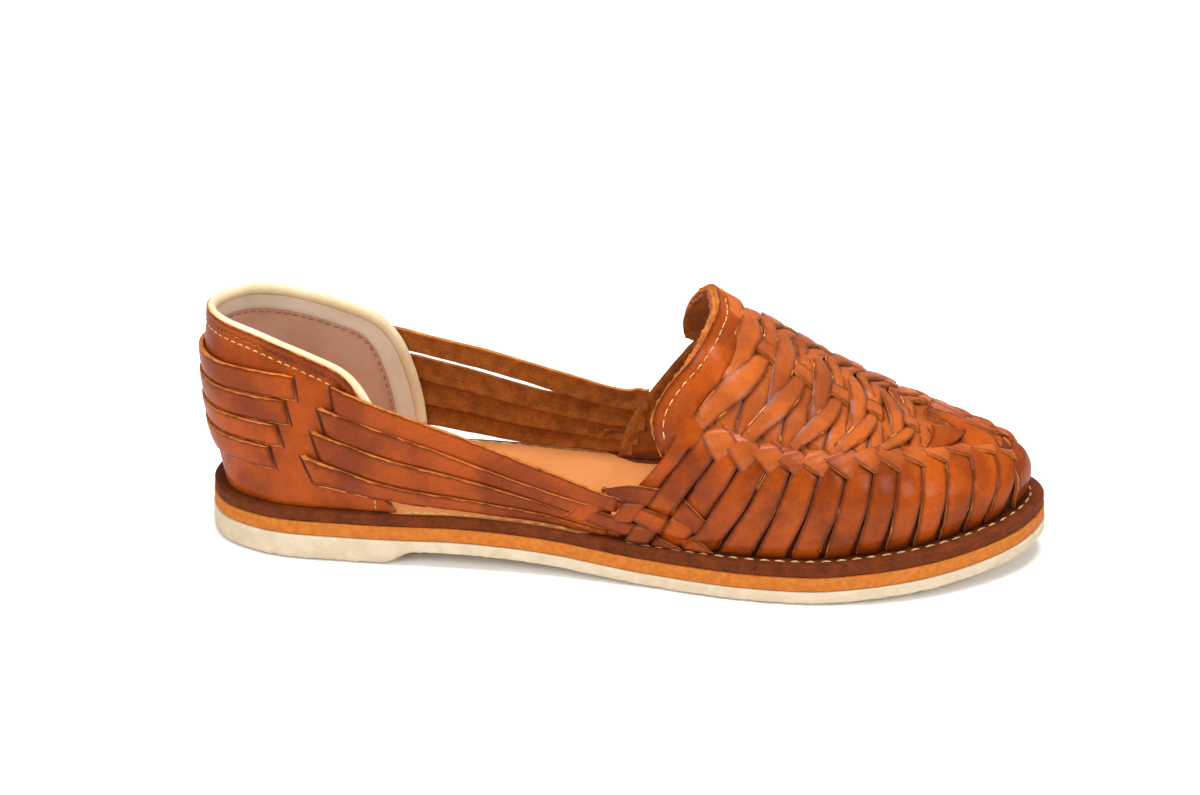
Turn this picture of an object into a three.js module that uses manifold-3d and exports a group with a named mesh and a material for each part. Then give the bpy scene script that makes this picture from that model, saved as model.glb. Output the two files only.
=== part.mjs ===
// Right-foot huarache sandal: a flat woven leather shoe, built as its maker does, layer by layer.
// Millimetres. +X points to the toe, +Y to the inner (medial) side and +Z up.
import * as THREE from "three";
import Module from "manifold-3d";

const wasm = await Module();
wasm.setup();

// ---------- driving dimensions ----------
const OUTSOLE_SHEET = 3.8; // even cream sheet under the whole shoe
const MIDSOLE = 4.3; // tan cushioning layer
const BOARD = 3.6; // leather insole board that the upper is laced through
const FLAT_GAP = 0.15; // between flat layers
const CURVED_GAP = 0.3; // between curved pieces
const UPPER_WALL = 2.2; // two leather strips at a crossing
const COUNTER_WALL = 2.2; // heel leather with its lining
const COUNTER_INSET = 0.5; // counter face behind the straps
const STRAP_WALL = 1.8;
const BINDING_RADIUS = 1.5;
const HEEL_END = 56; // the heel lift stops here
const HEEL_STEP_END = 62; // and its front face has died out here

// outline of the sole, walked from the heel back along the outer side to the toe and back
const outlinePoints = [
  { x: 0, y: -1.6 }, { x: 6, y: -18.2 }, { x: 22, y: -27.8 }, { x: 45, y: -30 },
  { x: 75, y: -30.4 }, { x: 105, y: -31.8 }, { x: 135, y: -36.2 }, { x: 165, y: -41.5 },
  { x: 190, y: -41 }, { x: 212, y: -35 }, { x: 231, y: -23.6 }, { x: 244, y: -10.4 },
  { x: 249, y: 4.6 }, { x: 244, y: 18.1 }, { x: 230, y: 28.9 }, { x: 210, y: 37 },
  { x: 185, y: 40.5 }, { x: 160, y: 37.2 }, { x: 130, y: 30.5 }, { x: 100, y: 27.8 },
  { x: 70, y: 27.9 }, { x: 42, y: 28.4 }, { x: 20, y: 25 }, { x: 6, y: 15.1 },
];

// how high the even sheet's underside stands over the floor: arch, ball and toe spring
const springRows = [
  { x: 0, lift: 3.9 }, { x: 60, lift: 3.9 }, { x: 80, lift: 4.2 }, { x: 105, lift: 3.0 },
  { x: 130, lift: 0.6 }, { x: 148, lift: 0 }, { x: 182, lift: 0 }, { x: 200, lift: 1.1 },
  { x: 220, lift: 2.6 }, { x: 235, lift: 4.2 }, { x: 249, lift: 6.6 },
];

// sections of the last: rim of board left outside the upper, height of the ridge over the board,
// roundness of the section and how far its side bulges past the feather line
const lastRows = [
  { x: 0, rim: 3.2, height: 80, power: 2.1, bulge: 10 },
  { x: 8, rim: 2.8, height: 80, power: 2.1, bulge: 7 },
  { x: 22, rim: 2.2, height: 80, power: 2.1, bulge: 3 },
  { x: 40, rim: 2.0, height: 79, power: 2.1, bulge: 1.5 },
  { x: 60, rim: 1.8, height: 78, power: 2.1, bulge: 1.5 },
  { x: 100, rim: 2.4, height: 74, power: 2.1, bulge: 1.5 },
  { x: 130, rim: 3.0, height: 69.5, power: 2.1, bulge: 1.8 },
  { x: 150, rim: 3.6, height: 64.5, power: 2.15, bulge: 2.0 },
  { x: 165, rim: 3.9, height: 55, power: 2.2, bulge: 2.2 },
  { x: 180, rim: 4.3, height: 45.5, power: 2.3, bulge: 2.4 },
  { x: 195, rim: 4.7, height: 36.8, power: 2.4, bulge: 2.6 },
  { x: 210, rim: 5.1, height: 29.3, power: 2.5, bulge: 2.6 },
  { x: 225, rim: 5.4, height: 23, power: 2.65, bulge: 2.4 },
  { x: 238, rim: 5.5, height: 18.6, power: 2.8, bulge: 2.0 },
  { x: 249, rim: 5.2, height: 15.5, power: 2.9, bulge: 1.6 },
];

// sideways place of the ridge over the length
const ridgeRows = [{ x: 30, y: -1 }, { x: 100, y: 1 }, { x: 150, y: 3.5 }, { x: 190, y: 5.5 }, { x: 222, y: 5 }];
const RIB_LEAN = 0.8; // a rib's top moves along the shoe by this share of its foot's move
const RIB_FIRST = { foot: 3, top: 30 };

// rear edge of the woven wall: where it starts, by its height as a share of the ridge height
const throatRows = [
  { share: 0, outer: 112, inner: 108 }, { share: 0.1, outer: 115, inner: 110 },
  { share: 0.2, outer: 124, inner: 114 }, { share: 0.32, outer: 130, inner: 121 },
  { share: 0.5, outer: 135.5, inner: 132 }, { share: 0.66, outer: 138, inner: 137 },
  { share: 0.8, outer: 142.5, inner: 142 }, { share: 0.93, outer: 148.5, inner: 148.5 },
  { share: 1, outer: 153, inner: 153 },
];

// rim of the heel counter, from its low front end up and round to the heel back
const collarRows = [
  { x: 60, height: 3 }, { x: 58.8, height: 14 }, { x: 56, height: 25 }, { x: 51.5, height: 35 },
  { x: 45, height: 42 }, { x: 34, height: 47 }, { x: 22, height: 51 }, { x: 11, height: 54 },
];
const COLLAR_BACK_HEIGHT = 55;

// edges between the four side straps, in mm over the board, from the top edge down to the lowest
const outerStrapRows = [
  { x: 36, edges: [39.5, 31.6, 24.2, 15.7, 8.0] },
  { x: 60, edges: [31.4, 24.4, 16.8, 8.6, 3.9] },
  { x: 85, edges: [23.2, 15.8, 11.0, 5.2, 1.4] },
  { x: 104, edges: [17.6, 10.8, 6.9, 3.4, 0.8] },
  { x: 126, edges: [13.8, 9.6, 5.6, 3.0, 0.8] },
];
const innerStrapRows = [
  { x: 36, edges: [39.5, 31.6, 24.2, 15.7, 8.0] },
  { x: 60, edges: [33.8, 26.8, 19.2, 11.4, 4.6] },
  { x: 85, edges: [28.4, 21.2, 13.8, 7.0, 1.4] },
  { x: 104, edges: [24.4, 17.4, 10.8, 5.2, 0.8] },
  { x: 122, edges: [21.2, 15.0, 9.4, 4.6, 0.8] },
];
const STRAP_GAP = 0.4;
const strapStarts = [41, 38.5, 37, 34.5]; // slit of each strap, top one first
const STRAP_END = 121;
const STRAP_OUTSIDE_UNTIL = 62; // up to here the straps lie outside the counter
const STRAP_MERGED_FROM = 110; // from here on they run inside the woven wall

// bands that wrap the heel back over the counter, top one first
const bandRows = [
  { front: 31, top: 40.6, bottom: 33.4 }, { front: 29, top: 33.1, bottom: 25.8 },
  { front: 27, top: 25.5, bottom: 18.8 }, { front: 24.5, top: 18.5, bottom: 11.4 },
];
const BAND_RISE_AT_BACK = 0.9;

// ---------- small maths ----------
function smoothColumn(rows, column) {
  const slope = (i) => {
    const before = rows[Math.max(i - 1, 0)];
    const after = rows[Math.min(i + 1, rows.length - 1)];
    return (after[column] - before[column]) / (after.x - before.x);
  };
  return (x) => {
    const place = THREE.MathUtils.clamp(x, rows[0].x, rows.at(-1).x);
    let i = 0;
    while (i < rows.length - 2 && rows[i + 1].x <= place) i += 1;
    const span = rows[i + 1].x - rows[i].x;
    const t = (place - rows[i].x) / span;
    const [t2, t3] = [t * t, t * t * t];
    return (2 * t3 - 3 * t2 + 1) * rows[i][column] + (t3 - 2 * t2 + t) * span * slope(i)
      + (3 * t2 - 2 * t3) * rows[i + 1][column] + (t3 - t2) * span * slope(i + 1);
  };
}

const smoothLift = smoothColumn(springRows, "lift");
const sheetLift = (x) => Math.max(0, smoothLift(x)); // flat on the floor under the ball
const boardTop = (x) => sheetLift(x) + OUTSOLE_SHEET + MIDSOLE + BOARD;
const rimWidth = smoothColumn(lastRows, "rim");
const ridgeHeight = smoothColumn(lastRows, "height");
const roundness = smoothColumn(lastRows, "power");
const bulge = smoothColumn(lastRows, "bulge");
const ridgeY = smoothColumn(ridgeRows, "y");

const outline = new THREE.CatmullRomCurve3(
  outlinePoints.map(({ x, y }) => new THREE.Vector3(x, y, 0)), true, "centripetal");
const wrap = (turn) => ((turn % 1) + 1) % 1;

// a point of the outline moved inward; turn runs 0..1 round the shoe and is 0.5 at the toe
function outlinePoint(turn, inward) {
  const point = outline.getPoint(wrap(turn));
  const ahead = outline.getPoint(wrap(turn + 1e-3)).sub(outline.getPoint(wrap(turn - 1e-3))).normalize();
  return new THREE.Vector3(point.x - ahead.y * inward, point.y + ahead.x * inward, 0);
}
const feather = (turn, inset) => outlinePoint(turn, rimWidth(outline.getPoint(wrap(turn)).x) + inset);

// turn at which a line at this inset crosses x, on the outer (-1) or inner (+1) side
function turnAt(x, side, line) {
  let [low, high] = [0, 0.5];
  for (let step = 0; step < 40; step += 1) {
    const middle = (low + high) / 2;
    if (line(side < 0 ? middle : 1 - middle).x < x) low = middle;
    else high = middle;
  }
  return side < 0 ? (low + high) / 2 : 1 - (low + high) / 2;
}
const footLine = (turn) => feather(turn, 0);

// ---------- the last ----------
// climb runs 0 at the feather line to 1 at the ridge; inset moves the whole skin inward
function skin(turn, climb, inset) {
  const station = footLine(turn).x;
  const foot = feather(turn, inset);
  const topX = RIB_FIRST.top + (station - RIB_FIRST.foot) * RIB_LEAN;
  const top = new THREE.Vector3(topX, ridgeY(topX), 0);
  const angle = climb * Math.PI / 2;
  const power = 2 / roundness(station);
  const inwardShare = 1 - Math.cos(angle) ** power;
  const upShare = Math.sin(angle) ** power;
  const outward = foot.clone().sub(top).normalize().multiplyScalar(bulge(station) * Math.sin(2 * angle));
  const point = foot.clone().lerp(top, inwardShare).add(outward);
  point.z = boardTop(point.x) + CURVED_GAP + (ridgeHeight(point.x) - CURVED_GAP - inset) * upShare;
  return point;
}

// climb that brings the skin to a height over the board
function climbAt(turn, height) {
  const station = footLine(turn).x;
  const share = THREE.MathUtils.clamp(height / ridgeHeight(station), 0, 1);
  return Math.asin(share ** (roundness(station) / 2)) * 2 / Math.PI;
}
const skinAtHeight = (turn, height, inset) => skin(turn, climbAt(turn, height), inset);

// ---------- closed meshes ----------
class Solid {
  constructor() {
    this.points = [];
    this.faces = [];
    this.known = new Map();
  }

  index(point) {
    const key = point.toArray().map((value) => Math.round(value * 1e5)).join(" ");
    if (!this.known.has(key)) {
      this.known.set(key, this.points.length);
      this.points.push(point.clone());
    }
    return this.known.get(key);
  }

  triangle(a, b, c) {
    const [i, j, k] = [a, b, c].map((point) => this.index(point));
    if (i !== j && j !== k && k !== i) this.faces.push([i, j, k]);
  }

  quad(a, b, c, d) {
    this.triangle(a, b, c);
    this.triangle(a, c, d);
  }

  // rings of equal length, joined one to the next and closed at both ends
  loft(rings) {
    for (let i = 0; i + 1 < rings.length; i += 1) {
      const [ring, next] = [rings[i], rings[i + 1]];
      ring.forEach((point, j) => {
        const after = (j + 1) % ring.length;
        this.quad(point, ring[after], next[after], next[j]);
      });
    }
    for (let j = 1; j + 1 < rings[0].length; j += 1) {
      this.triangle(rings[0][0], rings[0][j + 1], rings[0][j]);
      this.triangle(rings.at(-1)[0], rings.at(-1)[j], rings.at(-1)[j + 1]);
    }
    return this;
  }

  // a wall between an outer and an inner grid of points; a folded end meets itself and stays open
  wall(outer, inner, foldedEnd = false) {
    const [rows, columns] = [outer.length, outer[0].length];
    for (let i = 0; i + 1 < rows; i += 1) {
      for (let j = 0; j + 1 < columns; j += 1) {
        this.quad(outer[i][j], outer[i][j + 1], outer[i + 1][j + 1], outer[i + 1][j]);
        this.quad(inner[i][j], inner[i + 1][j], inner[i + 1][j + 1], inner[i][j + 1]);
      }
      this.quad(outer[i][0], outer[i + 1][0], inner[i + 1][0], inner[i][0]);
      const last = columns - 1;
      this.quad(outer[i + 1][last], outer[i][last], inner[i][last], inner[i + 1][last]);
    }
    for (let j = 0; j + 1 < columns; j += 1) {
      this.quad(outer[0][j + 1], outer[0][j], inner[0][j], inner[0][j + 1]);
      if (!foldedEnd) this.quad(outer.at(-1)[j], outer.at(-1)[j + 1], inner.at(-1)[j + 1], inner.at(-1)[j]);
    }
    return this;
  }

  volume() {
    return this.faces.reduce((sum, [i, j, k]) => {
      const [a, b, c] = [this.points[i], this.points[j], this.points[k]];
      return sum + a.dot(b.clone().cross(c)) / 6;
    }, 0);
  }

  manifold() {
    const flip = this.volume() < 0;
    const faces = this.faces.map(([i, j, k]) => (flip ? [i, k, j] : [i, j, k]));
    return new wasm.Manifold(new wasm.Mesh({
      numProp: 3,
      vertProperties: new Float32Array(this.points.flatMap((point) => point.toArray())),
      triVerts: new Uint32Array(faces.flat()),
    }));
  }
}

function geometryOf(manifold) {
  const mesh = manifold.getMesh();
  const geometry = new THREE.BufferGeometry();
  geometry.setAttribute("position", new THREE.BufferAttribute(mesh.vertProperties, mesh.numProp));
  geometry.setIndex(new THREE.BufferAttribute(mesh.triVerts, 1));
  return geometry;
}

const range = (count, make) => Array.from({ length: count }, (_, i) => make(i));

// ---------- sole layers ----------
const SOLE_STATIONS = 34;
function soleStations(start, end) {
  const even = range(SOLE_STATIONS + 1, (i) => start + (end - start) * (1 - Math.cos(Math.PI * i / SOLE_STATIONS)) / 2);
  const kept = even.filter((x) => Math.abs(x - HEEL_END) > 2 && Math.abs(x - HEEL_STEP_END) > 2);
  return [...kept, HEEL_END, HEEL_STEP_END].sort((a, b) => a - b);
}

function soleLayer(inward, under, over) {
  const line = (turn) => outlinePoint(turn, inward);
  const [start, end] = [line(0).x, line(0.5).x];
  const rings = soleStations(start, end).map((x) => {
    const edge = (side) => {
      if (x <= start) return line(0);
      return x >= end ? line(0.5) : line(turnAt(x, side, line));
    };
    const [outer, inner] = [edge(-1), edge(1)];
    const at = (point, z) => new THREE.Vector3(x, point.y, z);
    return [at(outer, under(x)), at(inner, under(x)), at(inner, over(x)), at(outer, over(x))];
  });
  return new Solid().loft(rings).manifold();
}

function outsoleUnderside(x) {
  if (x <= HEEL_END) return 0;
  return x < HEEL_STEP_END ? sheetLift(x) * (x - HEEL_END) / (HEEL_STEP_END - HEEL_END) : sheetLift(x);
}
const sheetTop = (x) => sheetLift(x) + OUTSOLE_SHEET;

const makeOutsole = () => soleLayer(-0.4, outsoleUnderside, (x) => sheetTop(x) - FLAT_GAP);
const makeMidsole = () => soleLayer(0, sheetTop, (x) => sheetTop(x) + MIDSOLE - FLAT_GAP);
const makeBoard = () => soleLayer(0.3, (x) => sheetTop(x) + MIDSOLE, boardTop);

// ---------- upper ----------
const VAMP_RIBS = 26;
const VAMP_COLUMNS = 40;

function throatStart(climb, side) {
  const rows = throatRows.map(({ share, outer, inner }) => ({ x: share, start: side < 0 ? outer : inner }));
  const power = 2 / roundness(rows[0].start + (rows.at(-1).start - rows[0].start) * climb);
  return smoothColumn(rows, "start")(Math.sin(climb * Math.PI / 2) ** power);
}

// woven wall: each column climbs the outer side, crosses the ridge and comes down the inner side
function vampGrid(inset) {
  const column = range(VAMP_COLUMNS + 1, (j) => {
    const around = 2 * j / VAMP_COLUMNS - 1;
    const side = around < 0 ? -1 : 1;
    const climb = 1 - Math.abs(around);
    return { side, climb, start: turnAt(throatStart(climb, side), -1, footLine) };
  });
  return range(VAMP_RIBS + 1, (i) => column.map(({ side, climb, start }) => {
    const outerTurn = THREE.MathUtils.lerp(start, 0.5, i / VAMP_RIBS);
    if (side < 0 || i === VAMP_RIBS) return skin(outerTurn, climb, inset);
    return skin(turnAt(footLine(outerTurn).x, 1, footLine), climb, inset);
  }));
}

const STRAP_RINGS = 13;
function makeStrap(side, number) {
  const rows = side < 0 ? outerStrapRows : innerStrapRows;
  const edge = (k) => smoothColumn(rows.map(({ x, edges }) => ({ x, edge: edges[k] })), "edge");
  const [upper, lower] = [edge(number), edge(number + 1)];
  const rings = range(STRAP_RINGS + 1, (i) => {
    const x = THREE.MathUtils.lerp(strapStarts[number], STRAP_END, i / STRAP_RINGS);
    const turn = turnAt(x, side, footLine);
    const merged = THREE.MathUtils.smoothstep(x, STRAP_OUTSIDE_UNTIL, STRAP_MERGED_FROM);
    const face = THREE.MathUtils.lerp(-STRAP_WALL - CURVED_GAP, 0.2, merged);
    const [high, low] = [upper(x) - STRAP_GAP / 2, lower(x) + STRAP_GAP / 2];
    return [[high, face], [high, face + STRAP_WALL], [low, face + STRAP_WALL], [low, face]]
      .map(([height, inset]) => skinAtHeight(turn, height, inset));
  });
  return new Solid().loft(rings).manifold();
}

function makeUpper() {
  let upper = new Solid().wall(vampGrid(0), vampGrid(UPPER_WALL), true).manifold();
  for (const side of [-1, 1]) {
    for (const number of [0, 1, 2, 3]) upper = upper.add(makeStrap(side, number));
  }
  return upper;
}

// ---------- heel ----------
const GIRTH = outline.getLength();

// the rim laid flat: along the shoe's girth from the outer front end round to the inner one, and up
const rimCurve = new THREE.CatmullRomCurve3([
  ...collarRows.map(({ x, height }) => ({ turn: turnAt(x, -1, footLine), height })),
  { turn: 0, height: COLLAR_BACK_HEIGHT },
  ...collarRows.map(({ x, height }) => ({ turn: turnAt(x, 1, footLine) - 1, height })).reverse(),
].map(({ turn, height }) => new THREE.Vector3(turn * GIRTH, height, 0)), false, "centripetal");

// places along the collar, 0 to 1 from the outer front end to the inner one, below the rim
function collarPlace(along, below) {
  const [place, ahead] = [rimCurve.getPointAt(along), rimCurve.getTangentAt(along)];
  return { turn: (place.x - ahead.y * below) / GIRTH, height: place.y + ahead.x * below };
}

const COUNTER_COLUMNS = 36;
const COUNTER_ROWS = 7;
function makeCounter() {
  const grid = (inset) => range(COUNTER_COLUMNS + 1, (i) => {
    const { turn, height } = collarPlace(i / COUNTER_COLUMNS, BINDING_RADIUS + CURVED_GAP);
    return range(COUNTER_ROWS + 1, (j) => skinAtHeight(turn, height * j / COUNTER_ROWS, inset));
  });
  return new Solid().wall(grid(COUNTER_INSET), grid(COUNTER_INSET + COUNTER_WALL)).manifold();
}

const BINDING_RINGS = 44;
const BINDING_SIDES = 8;
function makeBinding() {
  const centre = (along) => {
    const { turn, height } = collarPlace(along, 0);
    return skinAtHeight(turn, height, COUNTER_INSET + COUNTER_WALL / 2);
  };
  const rings = range(BINDING_RINGS + 1, (i) => {
    const along = i / BINDING_RINGS;
    const middle = centre(along);
    const ahead = centre(Math.min(along + 0.01, 1)).sub(centre(Math.max(along - 0.01, 0))).normalize();
    const across = ahead.clone().cross(new THREE.Vector3(0, 0, 1)).normalize();
    const rise = across.clone().cross(ahead);
    return range(BINDING_SIDES, (j) => {
      const angle = 2 * Math.PI * (j + 0.5) / BINDING_SIDES;
      return middle.clone().addScaledVector(across, BINDING_RADIUS * Math.cos(angle))
        .addScaledVector(rise, BINDING_RADIUS * Math.sin(angle));
    });
  });
  return new Solid().loft(rings).manifold();
}

const BAND_RINGS = 26;
function makeBand({ front, top, bottom }) {
  const [outerEnd, innerEnd] = [turnAt(front, -1, footLine), turnAt(front, 1, footLine) - 1];
  const rings = range(BAND_RINGS + 1, (i) => {
    const turn = THREE.MathUtils.lerp(innerEnd, outerEnd, i / BAND_RINGS);
    const rise = BAND_RISE_AT_BACK * Math.sin(Math.PI * i / BAND_RINGS);
    return [[top, -STRAP_WALL], [top, 0], [bottom, 0], [bottom, -STRAP_WALL]]
      .map(([height, inset]) => skinAtHeight(turn, height + rise, inset - CURVED_GAP / 2));
  });
  return new Solid().loft(rings).manifold();
}

// ---------- assembly ----------
const finishes = {
  crepe: { color: "#e9e0c8", roughness: 0.95, metalness: 0 },
  foam: { color: "#c88b45", roughness: 0.85, metalness: 0 },
  boardLeather: { color: "#c98a55", roughness: 0.7, metalness: 0 },
  stripLeather: { color: "#a8551f", roughness: 0.45, metalness: 0 },
  bindingLeather: { color: "#e3d3a9", roughness: 0.5, metalness: 0 },
};

function piece(name, solid, finish) {
  const mesh = new THREE.Mesh(geometryOf(solid), new THREE.MeshStandardMaterial(finishes[finish]));
  mesh.name = name;
  return mesh;
}

const sandal = new THREE.Group();
sandal.name = "huarache_sandal";
sandal.add(piece("outsole", makeOutsole(), "crepe"));
sandal.add(piece("midsole", makeMidsole(), "foam"));
sandal.add(piece("insole_board", makeBoard(), "boardLeather"));
sandal.add(piece("upper", makeUpper(), "stripLeather"));
sandal.add(piece("heel_counter", makeCounter(), "stripLeather"));
sandal.add(piece("collar_binding", makeBinding(), "bindingLeather"));
bandRows.forEach((row, i) => sandal.add(piece(`heel_band_${i + 1}`, makeBand(row), "stripLeather")));

// the origin is under the middle of the shoe, on the floor
const box = new THREE.Box3().setFromObject(sandal);
const middle = box.getCenter(new THREE.Vector3());
sandal.position.set(-middle.x, -middle.y, -box.min.z);

export default sandal;
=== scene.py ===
"""Right-foot huarache sandal: every strip, band, stitch and layer of the shoe, dressed over its CAD frame.

Sizes are in millimetres until a mesh is written, in the shoe's own frame: x runs from the heel back to
the toe, y to the inner side of the foot, and height is counted from the top of the insole board.
"""
import logging
import math
import random
from dataclasses import dataclass
from enum import Enum
from typing import Callable, ClassVar, Iterable, Optional, Sequence, TypeVar

import bmesh
import bpy
from mathutils import Matrix, Vector, noise


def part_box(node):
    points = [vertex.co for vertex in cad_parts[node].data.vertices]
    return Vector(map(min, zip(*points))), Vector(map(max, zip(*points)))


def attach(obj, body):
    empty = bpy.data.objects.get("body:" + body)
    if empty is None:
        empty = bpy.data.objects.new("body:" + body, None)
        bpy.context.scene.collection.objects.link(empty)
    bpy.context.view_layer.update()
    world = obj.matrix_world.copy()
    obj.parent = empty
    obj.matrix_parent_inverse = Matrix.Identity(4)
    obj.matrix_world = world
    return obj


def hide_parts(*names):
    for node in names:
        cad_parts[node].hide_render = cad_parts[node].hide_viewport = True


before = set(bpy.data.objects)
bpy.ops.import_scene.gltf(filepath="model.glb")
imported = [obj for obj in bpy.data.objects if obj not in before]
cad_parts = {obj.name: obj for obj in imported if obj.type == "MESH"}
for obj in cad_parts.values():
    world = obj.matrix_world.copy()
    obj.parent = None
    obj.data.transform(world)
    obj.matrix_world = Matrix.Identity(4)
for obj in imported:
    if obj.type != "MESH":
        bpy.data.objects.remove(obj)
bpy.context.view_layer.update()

MM = 0.001
LOG = logging.getLogger("huarache")


# ---------------------------------------------------------------- the last
class Side(Enum):
    """The two sides of the shoe, by the sign of y."""

    OUTER = -1
    INNER = 1


@dataclass(frozen=True)
class Layers:
    """Thickness of the sole's layers and of the walls above them, in mm."""

    outsole: float = 3.8
    midsole: float = 4.3
    board: float = 3.6
    heel_end: float = 56.0
    board_inset: float = 0.3
    counter_inset: float = 0.5

    @property
    def stack(self) -> float:
        """Height of the board's top over the even sheet's underside."""
        return self.outsole + self.midsole + self.board


LAYERS = Layers()

OUTLINE = (
    (0, -1.6), (6, -18.2), (22, -27.8), (45, -30), (75, -30.4), (105, -31.8), (135, -36.2), (165, -41.5),
    (190, -41), (212, -35), (231, -23.6), (244, -10.4), (249, 4.6), (244, 18.1), (230, 28.9), (210, 37),
    (185, 40.5), (160, 37.2), (130, 30.5), (100, 27.8), (70, 27.9), (42, 28.4), (20, 25), (6, 15.1),
)


Spot = TypeVar("Spot", float, Vector)


def cubic(share: float, start: Spot, leave: Spot, end: Spot, reach: Spot) -> Spot:
    """Place a share of the way along a cubic run, from its two ends and the slope at each of them."""
    u2, u3 = share * share, share * share * share
    return ((2 * u3 - 3 * u2 + 1) * start + (u3 - 2 * u2 + share) * leave
            + (3 * u2 - 2 * u3) * end + (u3 - u2) * reach)


def centripetal(share: float, p0: Vector, p1: Vector, p2: Vector, p3: Vector) -> Vector:
    """Point a share of the way from p1 to p2 on the centripetal curve through four points."""
    d0, d1, d2 = (math.sqrt((b - a).length) for a, b in ((p0, p1), (p1, p2), (p2, p3)))
    m1 = ((p1 - p0) / d0 - (p2 - p0) / (d0 + d1) + (p2 - p1) / d1) * d1
    m2 = ((p2 - p1) / d1 - (p3 - p1) / (d1 + d2) + (p3 - p2) / d2) * d1
    return cubic(share, p1, m1, p2, m2)


def smooth(rows: Sequence[tuple[float, float]]) -> Callable[[float], float]:
    """Smooth curve through a short table.

    Args:
        rows: pairs of place and value, in rising order of place.

    Returns:
        A function of the place, held level past both ends.
    """
    places = [row[0] for row in rows]
    values = [row[1] for row in rows]
    last = len(rows) - 1
    pairs = [(max(i - 1, 0), min(i + 1, last)) for i in range(last + 1)]
    slopes = [(values[b] - values[a]) / (places[b] - places[a]) for a, b in pairs]

    def value(place: float) -> float:
        """Value of the curve at a place."""
        place = min(max(place, places[0]), places[last])
        i = 0
        while i < last - 1 and places[i + 1] <= place:
            i += 1
        span = places[i + 1] - places[i]
        share = (place - places[i]) / span
        return cubic(share, values[i], span * slopes[i], values[i + 1], span * slopes[i + 1])

    return value


def column(rows: Sequence[tuple[float, ...]], place: int) -> Callable[[float], float]:
    """Smooth curve through one column of a table whose first column is the place."""
    return smooth([(row[0], row[place]) for row in rows])


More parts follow.
